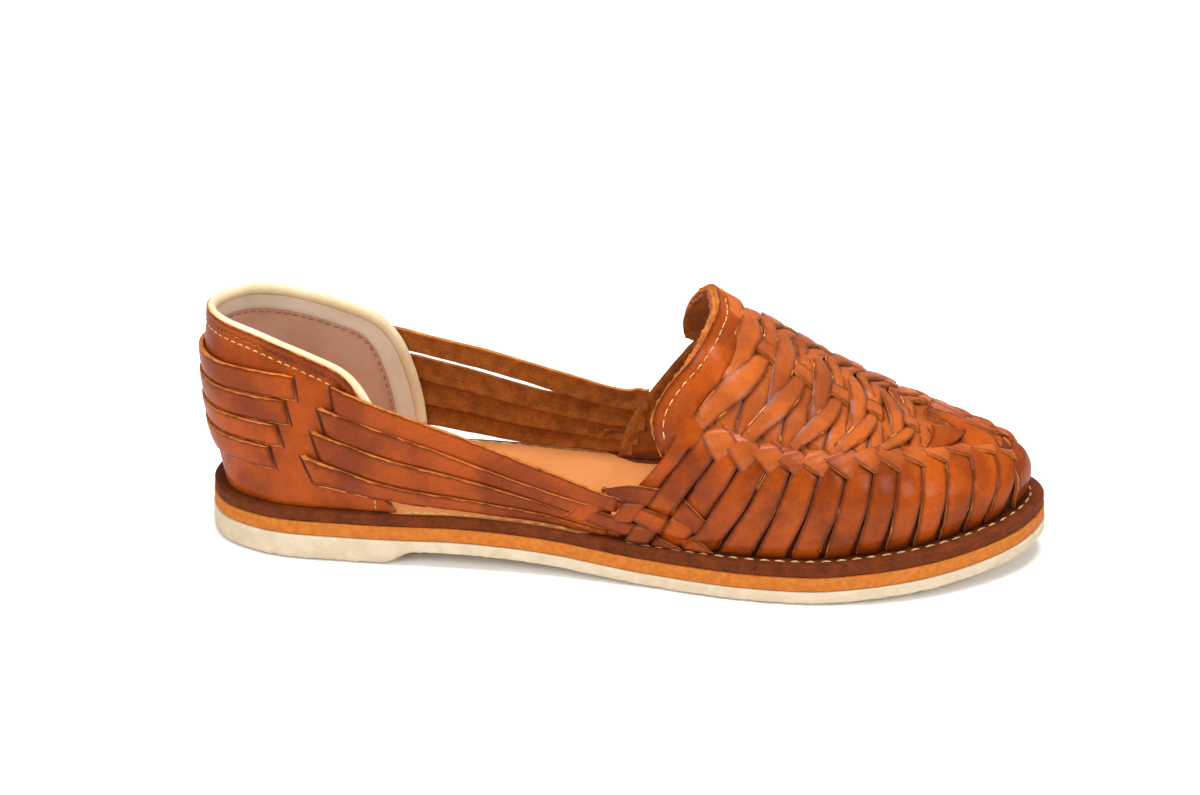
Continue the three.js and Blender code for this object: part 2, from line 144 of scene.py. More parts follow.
class Last:
    """The form that the upper is built on, with the outline of the sole under it."""

    # x, height of the even sheet's underside over the floor
    SPRING = ((0, 3.9), (60, 3.9), (80, 4.2), (105, 3.0), (130, 0.6), (148, 0), (182, 0), (200, 1.1),
              (220, 2.6), (235, 4.2), (249, 6.6))
    # x, rim of board outside the upper, ridge height, roundness of the section, bulge of its side
    SECTIONS = (
        (0, 3.2, 80, 2.1, 10), (8, 2.8, 80, 2.1, 7), (22, 2.2, 80, 2.1, 3), (40, 2.0, 79, 2.1, 1.5),
        (60, 1.8, 78, 2.1, 1.5), (100, 2.4, 74, 2.1, 1.5), (130, 3.0, 69.5, 2.1, 1.8),
        (150, 3.6, 64.5, 2.15, 2.0), (165, 3.9, 55, 2.2, 2.2), (180, 4.3, 45.5, 2.3, 2.4),
        (195, 4.7, 36.8, 2.4, 2.6), (210, 5.1, 29.3, 2.5, 2.6), (225, 5.4, 23, 2.65, 2.4),
        (238, 5.5, 18.6, 2.8, 2.0), (249, 5.2, 15.5, 2.9, 1.6),
    )
    RIDGE = ((30, -1), (100, 1), (150, 3.5), (190, 5.5), (222, 5))
    RIB_LEAN = 0.8
    RIB_FIRST = (3.0, 30.0)
    SAMPLES = 1200
    # how high the feather line stands over the board
    FEATHER_RISE = 0.3

    def __init__(self) -> None:
        """Work out the feather line and the ribs once, so that points on the last come quickly."""
        self._sheet_lift = smooth(self.SPRING)
        self.rim = column(self.SECTIONS, 1)
        self.ridge_height = column(self.SECTIONS, 2)
        self.power = column(self.SECTIONS, 3)
        self.bulge = column(self.SECTIONS, 4)
        self.ridge_y = smooth(self.RIDGE)
        edge = [self.outline_in(i / 400, LAYERS.board_inset) for i in range(400)]
        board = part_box("insole_board")
        self.shift = Vector((board[0][0] / MM - edge[0].x, board[0][1] / MM - min(p.y for p in edge), 0.0))
        self._feet = [self._foot(i / self.SAMPLES) for i in range(self.SAMPLES + 1)]
        self.girth = sum((self._feet[i + 1][0] - self._feet[i][0]).length for i in range(self.SAMPLES))
        self._pair = [self.turn_at(self._feet[i][0].x, Side.INNER) for i in range(self.SAMPLES // 2 + 1)]

    def lift(self, x: float) -> float:
        """Height of the even sheet's underside over the floor."""
        return max(0.0, self._sheet_lift(x))

    def to_row(self, point: Vector) -> Vector:
        """Point of the shoe's own frame, in mm, as a place in the row frame, in metres."""
        return (point + self.shift) * MM

    # ---- the sole's outline
    def outline(self, turn: float) -> Vector:
        """Point of the sole's outline.

        Args:
            turn: 0 at the heel back, 0.5 at the toe, walked along the outer side first.

        Returns:
            The point, with z 0.
        """
        count = len(OUTLINE)
        place = (turn % 1.0) * count
        i = int(place) % count
        knots = [Vector(OUTLINE[(i + k) % count]) for k in (-1, 0, 1, 2)]
        return centripetal(place - int(place), *knots).to_3d()

    def outline_in(self, turn: float, inward: float) -> Vector:
        """Point of the outline moved inward by a distance."""
        ahead = (self.outline(turn + 1e-3) - self.outline(turn - 1e-3)).normalized()
        point = self.outline(turn)
        return Vector((point.x - ahead.y * inward, point.y + ahead.x * inward, 0.0))

    def board_top(self, x: float) -> float:
        """Height of the board's top face over the floor."""
        return self.lift(x) + LAYERS.stack

    # ---- the feather line
    def _foot(self, turn: float) -> tuple[Vector, Vector]:
        """Foot of the rib at a turn, and the level direction that points inward from it."""
        ahead = (self.outline(turn + 1e-3) - self.outline(turn - 1e-3)).normalized()
        inward = Vector((-ahead.y, ahead.x, 0.0))
        point = self.outline(turn)
        return point + inward * self.rim(point.x), inward

    def turn_at(self, x: float, side: Side) -> float:
        """Turn of the rib whose foot stands at x on a side."""
        low, high = 0.0, 0.5
        for _ in range(40):
            middle = (low + high) / 2
            turn = middle if side is Side.OUTER else 1 - middle
            low, high = (middle, high) if self.foot(turn)[0].x < x else (low, middle)
        middle = (low + high) / 2
        return middle if side is Side.OUTER else 1 - middle

    def foot(self, turn: float) -> tuple[Vector, Vector]:
        """Foot of a rib and its inward direction, read between the stored samples."""
        place = (turn % 1.0) * self.SAMPLES
        i = min(int(place), self.SAMPLES - 1)
        return (self._feet[i][0].lerp(self._feet[i + 1][0], place - i),
                self._feet[i][1].lerp(self._feet[i + 1][1], place - i))

    # ---- the skin
    def skin(self, turn: float, climb: float, inset: float = 0.0) -> Vector:
        """Point of the last's skin.

        Args:
            turn: place of the rib's foot round the shoe.
            climb: 0 at the feather line, 1 at the ridge.
            inset: how far the whole skin is moved inward.

        Returns:
            The point in mm, in the shoe's own frame.
        """
        base, inward = self.foot(turn)
        station = base.x
        foot = base + inward * inset
        top_x = self.RIB_FIRST[1] + (station - self.RIB_FIRST[0]) * self.RIB_LEAN
        top = Vector((top_x, self.ridge_y(top_x), 0.0))
        angle = min(max(climb, 0.0), 1.0) * math.pi / 2
        power = 2 / self.power(station)
        inward_share = 1 - math.cos(angle) ** power if climb < 1 else 1.0
        up_share = math.sin(angle) ** power
        out = (foot - top).normalized() * (self.bulge(station) * math.sin(2 * angle))
        point = foot.lerp(top, inward_share) + out
        climb_height = self.ridge_height(point.x) - self.FEATHER_RISE - inset
        point.z = self.board_top(point.x) + self.FEATHER_RISE + climb_height * up_share
        return point

    def climb_at(self, turn: float, height: float) -> float:
        """Climb that brings the skin to a height over the board."""
        station = self.foot(turn)[0].x
        share = min(max(height / self.ridge_height(station), 0.0), 1.0)
        return math.asin(share ** (self.power(station) / 2)) * 2 / math.pi

    # ---- the upper's own map: station from the heel, around from the outer to the inner feather line
    def around(self, station: float, around: float, inset: float = 0.0) -> Vector:
        """Point of the skin by its station and its place over the foot.

        Args:
            station: half turn along the outer feather line, 0 at the heel back and 0.5 at the toe.
            around: -1 at the outer feather line, 0 on the ridge and 1 at the inner one.
            inset: how far the skin is moved inward.

        Returns:
            The point in mm.
        """
        turn = min(max(station, 0.0), 0.5)
        if around > 0:
            place = turn * self.SAMPLES
            i = min(int(place), self.SAMPLES // 2 - 1)
            turn = self._pair[i] + (self._pair[i + 1] - self._pair[i]) * (place - i)
        return self.skin(turn, 1 - abs(around), inset)


LAST = Last()


def mix(a: float, b: float, share: float) -> float:
    """Number a share of the way from a to b."""
    return a + (b - a) * share


def ease(low: float, high: float, value: float) -> float:
    """0 below low, 1 above high and a smooth rise between them."""
    share = min(max((value - low) / (high - low), 0.0), 1.0)
    return share * share * (3 - 2 * share)


Flat = tuple[float, float]


def along_line(points: Sequence[Flat], share: float, soft: float = 1.0) -> Vector:
    """Point of a line through flat points.

    Args:
        points: two or more flat points.
        share: 0 at the first point and 1 at the last.
        soft: how far the line bends round its points, from 0 for straight runs with corners.

    Returns:
        The flat point, as a vector of two numbers.
    """
    spots = [Vector(point) for point in points]
    last = len(spots) - 1
    place = min(max(share, 0.0), 1.0) * last
    i = min(int(place), last - 1)
    u = place - i
    before, after = spots[max(i - 1, 0)], spots[min(i + 2, last)]
    m1, m2 = (spots[i + 1] - before) / 2, (after - spots[i]) / 2
    if i == 0:
        m1 = spots[1] - spots[0]
    if i == last - 1:
        m2 = spots[last] - spots[last - 1]
    chord = spots[i + 1] - spots[i]
    m1, m2 = chord.lerp(m1, soft), chord.lerp(m2, soft)
    return cubic(u, spots[i], m1, spots[i + 1], m2)


class Chart:
    """One side of the upper laid flat: mm along the feather line from the heel, and place over the foot.

    The place over the foot is -1 at the side's own feather line, 0 on the ridge and above 0 past it.
    """

    def __init__(self, side: Side) -> None:
        """Chart of one side."""
        self.side = side

    def at(self, along: float, over: float, inset: float = 0.0) -> Vector:
        """Point of the skin at a place of the chart, moved inward by the inset."""
        return LAST.around(along / LAST.girth, -self.side.value * over, inset)


# ---------------------------------------------------------------- finishes
class Kind(Enum):
    """What a surface of the shoe is made of."""

    GLOSSY = "glossy leather"
    CUT = "cut edge of leather"
    SUEDE = "flesh side of leather"
    LINING = "pale lining leather"
    BINDING = "rolled binding"
    THREAD = "thread"
    CREPE = "crepe rubber"
    FOAM = "foam rubber"
    BOARD = "sole leather"
    SHADOW = "inside of a slit"
    FLOOR = "studio floor"


def tone(text: str) -> tuple[float, float, float, float]:
    """Linear colour of a screen colour written as six hexadecimal digits."""
    parts = [int(text[i:i + 2], 16) / 255 for i in (0, 2, 4)]
    linear = [p / 12.92 if p <= 0.04045 else ((p + 0.055) / 1.055) ** 2.4 for p in parts]
    return linear[0], linear[1], linear[2], 1.0


class Wiring:
    """Adds shader nodes to one tree and joins them."""

    def __init__(self, tree: bpy.types.NodeTree) -> None:
        """Start on an empty tree."""
        self.tree = tree
        tree.nodes.clear()
        self.column = 0

    def add(self, kind: str, values: Optional[dict] = None, **settings: object) -> bpy.types.Node:
        """Add one node.

        Args:
            kind: the node's type, without the leading ShaderNode.
            values: input values or output sockets to join, by input name or number.
            settings: properties of the node.

        Returns:
            The node.
        """
        node = self.tree.nodes.new(kind if kind.startswith("Node") else "ShaderNode" + kind)
        self.column += 1
        node.location = (self.column * 180, -(self.column % 4) * 160)
        for name, value in settings.items():
            setattr(node, name, value)
        for name, value in (values or {}).items():
            if isinstance(value, bpy.types.NodeSocket):
                self.tree.links.new(value, node.inputs[name])
            else:
                node.inputs[name].default_value = value
        return node

    def math(self, operation: str, a: object, b: object = 0.0, clamp: bool = False) -> bpy.types.NodeSocket:
        """Output of a maths node."""
        return self.add("Math", {0: a, 1: b}, operation=operation, use_clamp=clamp).outputs[0]

    def multiply_add(self, a: object, b: object, c: object) -> bpy.types.NodeSocket:
        """Output of a maths node that adds c to the product of a and b."""
        return self.add("Math", {0: a, 1: b, 2: c}, operation="MULTIPLY_ADD").outputs[0]

    def blend(self, share: object, a: object, b: object) -> bpy.types.NodeSocket:
        """Output of a colour mix."""
        return self.add("Mix", {0: share, 6: a, 7: b}, data_type="RGBA").outputs[2]

    def ramp(self, value: object, low: float, high: float, start: float = 0.0,
             end: float = 1.0) -> bpy.types.NodeSocket:
        """Output of a clamped map from one range to another."""
        node = self.add("MapRange", {0: value, 1: low, 2: high, 3: start, 4: end}, clamp=True)
        node.interpolation_type = "SMOOTHSTEP"
        return node.outputs[0]


def new_group(name: str, inputs: Sequence[tuple[str, str, object]],
              outputs: Sequence[tuple[str, str]]) -> tuple[Wiring, bpy.types.Node, bpy.types.ShaderNodeTree]:
    """Start a shader node group.

    Args:
        name: the group's name.
        inputs: name, type and default of each input.
        outputs: name and type of each output.

    Returns:
        The wiring of its tree, its input node and the tree.
    """
    tree = bpy.data.node_groups.new(name, "ShaderNodeTree")
    for label, kind, default in inputs:
        socket = tree.interface.new_socket(label, in_out="INPUT", socket_type="NodeSocket" + kind)
        if default is not None:
            socket.default_value = default
    for label, kind in outputs:
        tree.interface.new_socket(label, in_out="OUTPUT", socket_type="NodeSocket" + kind)
    wiring = Wiring(tree)
    return wiring, wiring.add("NodeGroupInput"), tree


class Effects:
    """Shader node groups that several finishes share."""

    def __init__(self) -> None:
        """Build each group once."""
        self.grain = self._grain()
        self.edge = self._edge()
        self.mottle = self._mottle()
        self.nap = self._nap()

    @staticmethod
    def _grain() -> bpy.types.ShaderNodeTree:
        """Fine pores and stretch creases of smooth leather, as a height from 0 to 1."""
        wiring, given, tree = new_group(
            "leather_grain",
            [("Place", "Vector", None), ("Pores", "Float", 1500.0), ("Creases", "Float", 0.5)],
            [("Height", "Float"), ("Crease", "Float")])
        place = given.outputs["Place"]
        pores = wiring.add("TexVoronoi", {"Vector": place, "Scale": given.outputs["Pores"]}, feature="F1")
        fine = wiring.add("TexNoise", {"Vector": place, "Scale": 2600.0, "Detail": 3.0})
        stretched = wiring.add("Mapping", {"Vector": place, "Scale": (1.0, 0.28, 1.0)})
        folds = wiring.add("TexNoise", {"Vector": stretched.outputs[0], "Scale": 420.0, "Detail": 4.0,
                                        "Distortion": 0.6})
        crease = wiring.ramp(wiring.math("ABSOLUTE", wiring.math("SUBTRACT", folds.outputs[0], 0.5)),
                             0.0, 0.035, 1.0, 0.0)
        crease = wiring.math("MULTIPLY", crease, given.outputs["Creases"])
        height = wiring.multiply_add(pores.outputs[0], 0.35, 0.2)
        height = wiring.multiply_add(fine.outputs[0], 0.3, height)
        height = wiring.multiply_add(crease, -0.6, height)
        wiring.add("NodeGroupOutput", {"Height": height, "Crease": crease})
        return tree

    @staticmethod
    def _edge() -> bpy.types.ShaderNodeTree:
        """How near a strip's cut edge is, from the strip's own maps, 1 at the edge itself."""
        wiring, given, tree = new_group(
            "edge_nearness",
            [("Reach", "Float", 0.0012), ("Wander", "Float", 0.5)],
            [("Near", "Float"), ("Side", "Float")])
        across = wiring.add("UVMap", uv_map="across")
        lengthwise = wiring.add("UVMap", uv_map="lengthwise")
        first = wiring.add("SeparateXYZ", {0: across.outputs[0]})
        second = wiring.add("SeparateXYZ", {0: lengthwise.outputs[0]})
        nearest = wiring.math("MINIMUM", wiring.math("MINIMUM", first.outputs[0], first.outputs[1]),
                              wiring.math("MINIMUM", second.outputs[0], second.outputs[1]))
        place = wiring.add("TexCoord")
        wander = wiring.add("TexNoise", {"Vector": place.outputs["Object"], "Scale": 500.0, "Detail": 3.0})
        shaken = wiring.math("MULTIPLY", wiring.math("SUBTRACT", wander.outputs[0], 0.5),
                             wiring.math("MULTIPLY", given.outputs["Wander"], given.outputs["Reach"]))

        def nearness(distance: bpy.types.NodeSocket) -> bpy.types.NodeSocket:
            """1 at the edge, falling to 0 at the reach."""
            share = wiring.math("DIVIDE", wiring.math("ADD", distance, shaken), given.outputs["Reach"],
                                clamp=True)
            return wiring.math("SUBTRACT", 1.0, share)

        side = wiring.math("MINIMUM", first.outputs[0], first.outputs[1])
        wiring.add("NodeGroupOutput", {"Near": nearness(nearest), "Side": nearness(side)})
        return tree

    @staticmethod
    def _mottle() -> bpy.types.ShaderNodeTree:
        """Broad uneven patches of hand-rubbed dye, as a share from 0 to 1."""
        wiring, given, tree = new_group(
            "dye_patches", [("Place", "Vector", None), ("Size", "Float", 60.0)],
            [("Share", "Float")])
        broad = wiring.add("TexNoise", {"Vector": given.outputs["Place"], "Scale": given.outputs["Size"],
                                        "Detail": 4.0, "Roughness": 0.55})
        wiring.add("NodeGroupOutput", {"Share": wiring.ramp(broad.outputs[0], 0.34, 0.66)})
        return tree

    @staticmethod
    def _nap() -> bpy.types.ShaderNodeTree:
        """Loose fibres of the flesh side, as a height and a share from 0 to 1."""
        wiring, given, tree = new_group(
            "suede_nap", [("Place", "Vector", None), ("Fibres", "Float", 1400.0)],
            [("Height", "Float"), ("Share", "Float")])
        fibre = wiring.add("TexNoise", {"Vector": given.outputs["Place"], "Scale": given.outputs["Fibres"],
                                        "Detail": 5.0, "Roughness": 0.7})
        brushed = wiring.add("TexNoise", {"Vector": given.outputs["Place"], "Scale": 260.0, "Detail": 4.0})
        share = wiring.math("MULTIPLY", wiring.math("ADD", fibre.outputs[0], brushed.outputs[0]), 0.5)
        wiring.add("NodeGroupOutput", {"Height": fibre.outputs[0], "Share": wiring.ramp(share, 0.28, 0.72)})
        return tree


# colour, height and roughness of a surface
Look = tuple[bpy.types.NodeSocket, bpy.types.NodeSocket, bpy.types.NodeSocket]


@dataclass(frozen=True)
class Finish:
    """One surface of the shoe: its colours and how it takes the light."""

    name: str
    kind: Kind
    light: str
    dark: str
    rough: float = 0.5
    rough_spread: float = 0.08
    coat: float = 0.0
    coat_rough: float = 0.3
    sheen: float = 0.0
    specular: float = 0.5
    relief: float = 0.4
    scale: float = 1.0
    # colour of the painted shade along cut edges, standing for the shadow in the gaps between strips
    edge: Optional[str] = None
    raw: Optional[str] = None
    edge_reach: float = 1.0
    creases: float = 0.5
    # metres: height of the full bump, and how far in from a cut edge its dark line of painted shade reaches
    BUMP_HEIGHT: ClassVar[float] = 0.0004
    EDGE_REACH: ClassVar[float] = 0.0012

    def make(self, effects: Effects) -> bpy.types.Material:
        """Build the material.

        Args:
            effects: the shared node groups.

        Returns:
            The material.
        """
        material = bpy.data.materials.new(self.name)
        material.use_nodes = True
        wiring = Wiring(material.node_tree)
        place = wiring.add("TexCoord").outputs["Object"]
        if self.kind in (Kind.GLOSSY, Kind.LINING, Kind.BINDING, Kind.BOARD):
            colour, height, rough = self._smooth_leather(wiring, effects, place)
        elif self.kind in (Kind.SUEDE, Kind.CUT):
            colour, height, rough = self._fibres(wiring, effects, place)
        else:
            colour, height, rough = self._plain(wiring, place)
        bump = wiring.add("Bump", {"Height": height, "Strength": self.relief,
                                   "Distance": self.BUMP_HEIGHT * self.scale})
        shader = wiring.add("BsdfPrincipled", {
            "Base Color": colour, "Roughness": rough, "Normal": bump.outputs[0], "Coat Weight": self.coat,
            "Coat Roughness": self.coat_rough, "Sheen Weight": self.sheen, "Sheen Roughness": 0.5,
            "Specular IOR Level": self.specular})
        wiring.add("OutputMaterial", {"Surface": shader.outputs[0]})
        return material

    def _smooth_leather(self, wiring: Wiring, effects: Effects, place: bpy.types.NodeSocket) -> Look:
        """Colour, height and roughness of the grain side."""
        tint = wiring.add("Attribute", attribute_name="tint").outputs["Fac"]
        grain = wiring.add("Group", {"Place": place, "Creases": self.creases}, node_tree=effects.grain)
        mottle = wiring.add("Group", {"Place": place}, node_tree=effects.mottle)
        share = wiring.multiply_add(mottle.outputs["Share"], 0.55, wiring.math("MULTIPLY", tint, 0.38))
        colour = wiring.blend(share, tone(self.light), tone(self.dark))
        # darker in the creases
        darker_in_creases = wiring.math("MULTIPLY", grain.outputs["Crease"], 0.55)
        colour = wiring.blend(darker_in_creases, colour, tone(self.dark))
        if self.edge:
            reach = self.EDGE_REACH * self.edge_reach
            edge = wiring.add("Group", {"Reach": reach, "Wander": 0.7}, node_tree=effects.edge)
            # painted shade: darker along each cut edge, for the shadow in the gaps between strips
            dark = wiring.math("MULTIPLY", edge.outputs["Near"], 0.85)
            colour = wiring.blend(dark, colour, tone(self.edge))
            if self.raw:
                broken = wiring.add("TexNoise", {"Vector": place, "Scale": 160.0, "Detail": 3.0})
                bare = wiring.add("Attribute", attribute_name="raw").outputs["Fac"]
                shown = wiring.math("ADD", broken.outputs[0], wiring.multiply_add(bare, 0.5, -0.25))
                line = wiring.math("MULTIPLY", wiring.ramp(edge.outputs["Side"], 0.76, 0.86),
                                   wiring.ramp(shown, 0.48, 0.6))
                colour = wiring.blend(line, colour, tone(self.raw))
        rough = wiring.multiply_add(mottle.outputs["Share"], self.rough_spread, self.rough)
        return colour, grain.outputs["Height"], rough

    def _fibres(self, wiring: Wiring, effects: Effects, place: bpy.types.NodeSocket) -> Look:
        """Colour, height and roughness of the flesh side or a cut edge."""
        nap = wiring.add("Group", {"Place": place}, node_tree=effects.nap)
        colour = wiring.blend(nap.outputs["Share"], tone(self.dark), tone(self.light))
        rough = wiring.multiply_add(nap.outputs["Share"], self.rough_spread, self.rough)
        return colour, nap.outputs["Height"], rough

    def _plain(self, wiring: Wiring, place: bpy.types.NodeSocket) -> Look:
        """Colour, height and roughness of rubber, thread and the floor."""
        coarse = wiring.add("TexNoise", {"Vector": place, "Scale": 300.0 / self.scale, "Detail": 6.0,
                                         "Roughness": 0.65})
        colour = wiring.blend(wiring.ramp(coarse.outputs[0], 0.38, 0.64), tone(self.dark), tone(self.light))
        rough = wiring.multiply_add(coarse.outputs[0], self.rough_spread, self.rough)
        return colour, coarse.outputs[0], rough


FINISHES = (
    Finish("strip_glossy", Kind.GLOSSY, "A6480C", "5E2207", rough=0.45, coat=0.22, coat_rough=0.22,
           relief=0.55, edge="401503", edge_reach=1.1, raw="C27032", specular=0.02, creases=0.4),
    # lighter copy of strip_glossy: painted highlight on the ridge and ledge strips, which face the lights;
    # its heavier coat is real gloss
    Finish("crest_glossy_lit", Kind.GLOSSY, "B65A1E", "783210", rough=0.42, coat=0.27, coat_rough=0.24,
           relief=0.5, edge="4C1C06", edge_reach=1.1, raw="C88040", specular=0.06, creases=0.35),
    Finish("counter_leather", Kind.GLOSSY, "A6480C", "662404", rough=0.45, coat=0.2, coat_rough=0.25,
           relief=0.25, specular=0.02, creases=0.3),
    Finish("strip_cut_edge", Kind.CUT, "C87A38", "8A4418", rough=0.85, relief=0.6, specular=0.1),
    Finish("strip_suede", Kind.SUEDE, "AA5E22", "70380E", rough=0.92, sheen=0.08, specular=0.1,
           relief=0.7, scale=1.6),
    # darker copy of the suede: painted shade for the wall seen in the gaps between strips
    Finish("wall_suede_shaded", Kind.SUEDE, "7A3A16", "4A1E08", rough=0.95, sheen=0.04, specular=0.05,
           relief=0.7, scale=1.6),
    Finish("lining_leather", Kind.LINING, "C8A48C", "B48A70", rough=0.55, relief=0.2, creases=0.3),
    Finish("lining_band", Kind.LINING, "E0D6C2", "C9BBA2", rough=0.5, relief=0.2, creases=0.2),
    Finish("collar_roll", Kind.BINDING, "E2D0AE", "C8AE80", rough=0.42, coat=0.2, relief=0.2, creases=0.5),
    Finish("cream_thread", Kind.THREAD, "D9B884", "B08450", rough=0.75, relief=0.6, scale=0.4),
    Finish("brown_thread", Kind.THREAD, "A06A48", "7E4C30", rough=0.75, relief=0.6, scale=0.4),
    Finish("crepe", Kind.CREPE, "CAB9A0", "C0AE92", rough=0.9, specular=0.2, relief=0.8, scale=1.6),
    Finish("midsole_foam", Kind.FOAM, "BC6E2A", "AC6022", rough=0.85, specular=0.15, relief=0.5, scale=0.5),
    Finish("board_top", Kind.BOARD, "C88048", "B46E38", rough=0.6, specular=0.2, relief=0.25, creases=0.2),
    Finish("board_rim", Kind.CUT, "743410", "481E08", rough=0.75, specular=0.12, relief=0.8, scale=1.4),
    # painted shadow: dark lens laid over the counter where a slit opens
    Finish("slit_shadow", Kind.SHADOW, "4A1C08", "2C0F04", rough=0.9, relief=0.3),
    Finish("studio_floor", Kind.FLOOR, "FFFFFF", "FDFDFD", rough=0.9, relief=0.0, scale=50.0),
)


class Palette:
    """Every material of the scene, by name."""

    def __init__(self) -> None:
        """Build the shared groups and then each finish."""
        effects = Effects()
        self._made = {finish.name: finish.make(effects) for finish in FINISHES}

    def __getitem__(self, name: str) -> bpy.types.Material:
        """Material of a finish."""
        return self._made[name]


# ---------------------------------------------------------------- meshes
Surface = Callable[[float, float], Vector]


class Work:
    """Gathers the thin sheets and stitches of one piece and writes them as one mesh."""

    BEVEL_ANGLE = 48.0
    BEVEL_SEGMENTS = 2

    def __init__(self, name: str, seed: int = 1) -> None:
        """Start an empty piece."""
        self.name = name
        self.bm = bmesh.new()
        self.across = self.bm.loops.layers.uv.new("across")
        self.lengthwise = self.bm.loops.layers.uv.new("lengthwise")
        self.tint = self.bm.verts.layers.float.new("tint")
        self.raw = self.bm.verts.layers.float.new("raw")
        self.random = random.Random(seed)

    def sheet(self, surface: Surface, columns: int, rows: int, outward: Callable[[Vector], Vector],
              tint: Optional[float] = None, slot: int = 0, ring: bool = False, raw: float = 0.5
              ) -> list[bmesh.types.BMVert]:
        """Add a sheet.

        Args:
            surface: point in mm, in the shoe's own frame, for a share across and a share along.
            columns: faces across.
            rows: faces along.
            outward: direction that the face side looks to at a point.
            tint: how dark this sheet is dyed, from 0 to 1; chosen at random when left out.
            slot: material slot of its faces.
            ring: whether the last row meets the first one.
            raw: how much of its long cut edges shows the undyed leather, from 0 to 1.

        Returns:
            The new vertices.
        """
        made = bmesh.ops.create_grid(self.bm, x_segments=columns, y_segments=rows, size=0.5)["verts"]
        shares = {vert: (vert.co.x + 0.5, vert.co.y + 0.5) for vert in made}
        for vert, (s, t) in shares.items():
            vert.co = LAST.to_row(surface(s, t))
        width = (surface(1.0, 0.5) - surface(0.0, 0.5)).length * MM
        length = sum((surface(0.5, (i + 1) / 8) - surface(0.5, i / 8)).length for i in range(8)) * MM
        shade = self.random.random() if tint is None else tint
        faces = {face for vert in made for face in vert.link_faces}
        for vert in made:
            vert[self.tint] = shade
            vert[self.raw] = raw
        for face in faces:
            face.smooth = True
            face.material_index = slot
            for loop in face.loops:
                s, t = shares[loop.vert]
                loop[self.across].uv = (s * width, (1 - s) * width)
                loop[self.lengthwise].uv = (t * length, (1 - t) * length)
        if ring:
            bmesh.ops.remove_doubles(self.bm, verts=made, dist=1e-6)
            made = [vert for vert in made if vert.is_valid]
            faces = {face for face in faces if face.is_valid}
        self._turn_out(faces, outward)
        return made

    @staticmethod
    def _turn_out(faces: Iterable[bmesh.types.BMFace], outward: Callable[[Vector], Vector]) -> None:
        """Turn a sheet's faces over if most of them look inward."""
        votes = 0.0
        for face in faces:
            face.normal_update()
            out = outward(face.calc_center_median() / MM - LAST.shift)
            votes += face.normal.dot(out) * face.calc_area()
        if votes < 0:
            for face in faces:
                face.normal_flip()

    def stitch(self, start: Vector, end: Vector, up: Vector, radius: float = 0.32,
               sink: float = 0.35) -> None:
        """Add one stitch of thread between two points, its ends pulled into the leather."""
        middle, ahead = (start + end) / 2, (end - start)
        half = max(ahead.length / 2 - radius, 0.05)
        ahead.normalize()
        side = ahead.cross(up).normalized()
        rise = side.cross(ahead)
        made = bmesh.ops.create_uvsphere(self.bm, u_segments=8, v_segments=6, radius=radius)["verts"]
        for vert in made:
            reach = vert.co.z + math.copysign(half, vert.co.z) if abs(vert.co.z) > 1e-6 else vert.co.z
            drop = sink * (reach / (half + radius)) ** 2
            vert.co = LAST.to_row(middle + ahead * reach + side * vert.co.x + rise * (vert.co.y - drop))
            vert[self.tint] = 0.5
        for face in {face for vert in made for face in vert.link_faces}:
            face.smooth = True

    def seam(self, line: Callable[[float], tuple[Vector, Vector]], pitch: float, length: float,
             radius: float = 0.32, start: float = 0.0, end: float = 1.0) -> None:
        """Add a row of stitches along a line.

        Args:
            line: point and outward direction for a share of the way along.
            pitch: mm from one stitch to the next.
            length: mm of thread seen in each stitch.
            radius: half the thread's thickness.
            start: share of the line where the row begins.
            end: share of the line where the row ends.
        """
        samples = 400
        points = [line(mix(start, end, i / samples)) for i in range(samples + 1)]
        walked = [0.0]
        for i in range(samples):
            walked.append(walked[-1] + (points[i + 1][0] - points[i][0]).length)
        count = int(walked[-1] / pitch)

        def at(distance: float) -> tuple[Vector, Vector]:
            """Point and direction at a walked distance."""
            distance = min(max(distance, 0.0), walked[-1])
            low = max(k for k in range(samples) if walked[k] <= distance)
            span = walked[low + 1] - walked[low] or 1.0
            share = (distance - walked[low]) / span
            return points[low][0].lerp(points[low + 1][0], share), points[low][1]

        for number in range(count):
            first = (number + 0.5) * pitch - length / 2 + self.random.uniform(-0.15, 0.15)
            a, up = at(first)
            b, _ = at(first + length * self.random.uniform(0.9, 1.08))
            self.stitch(a + up * radius * 0.35, b + up * radius * 0.35, up, radius)

    def write(self, materials: Sequence[bpy.types.Material], slot: str, replaces: Sequence[str] = (),
              wall: float = 0.0, rim: int = 0, back: int = 0, round_edge: float = 0.0) -> bpy.types.Object:
        """Turn the gathered work into a piece of the shoe.

        Args:
            materials: the piece's material slots.
            slot: not used.
            replaces: CAD nodes that the piece stands for.
            wall: thickness in mm given to the sheets, inward from their face side.
            rim: how many slots on the cut edge's material is.
            back: how many slots on the back's material is.
            round_edge: radius in mm that the cut edges are rounded by.

        Returns:
            The piece.
        """
        mesh = bpy.data.meshes.new(self.name)
        self.bm.normal_update()
        self.bm.to_mesh(mesh)
        self.bm.free()
        piece = bpy.data.objects.new(self.name, mesh)
        bpy.context.scene.collection.objects.link(piece)
        for material in materials:
            mesh.materials.append(material)
        if wall:
            solid = piece.modifiers.new("wall", "SOLIDIFY")
            solid.thickness = wall * MM
            solid.offset = -1.0
            solid.material_offset_rim = rim
            solid.material_offset = back
            solid.use_even_offset = False
        if round_edge:
            bevel = piece.modifiers.new("rounded edges", "BEVEL")
            bevel.width = round_edge * MM
            bevel.segments = self.BEVEL_SEGMENTS
            bevel.limit_method = "ANGLE"
            bevel.angle_limit = math.radians(self.BEVEL_ANGLE)
        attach(piece, "root")
        if replaces:
            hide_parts(*replaces)
        return piece


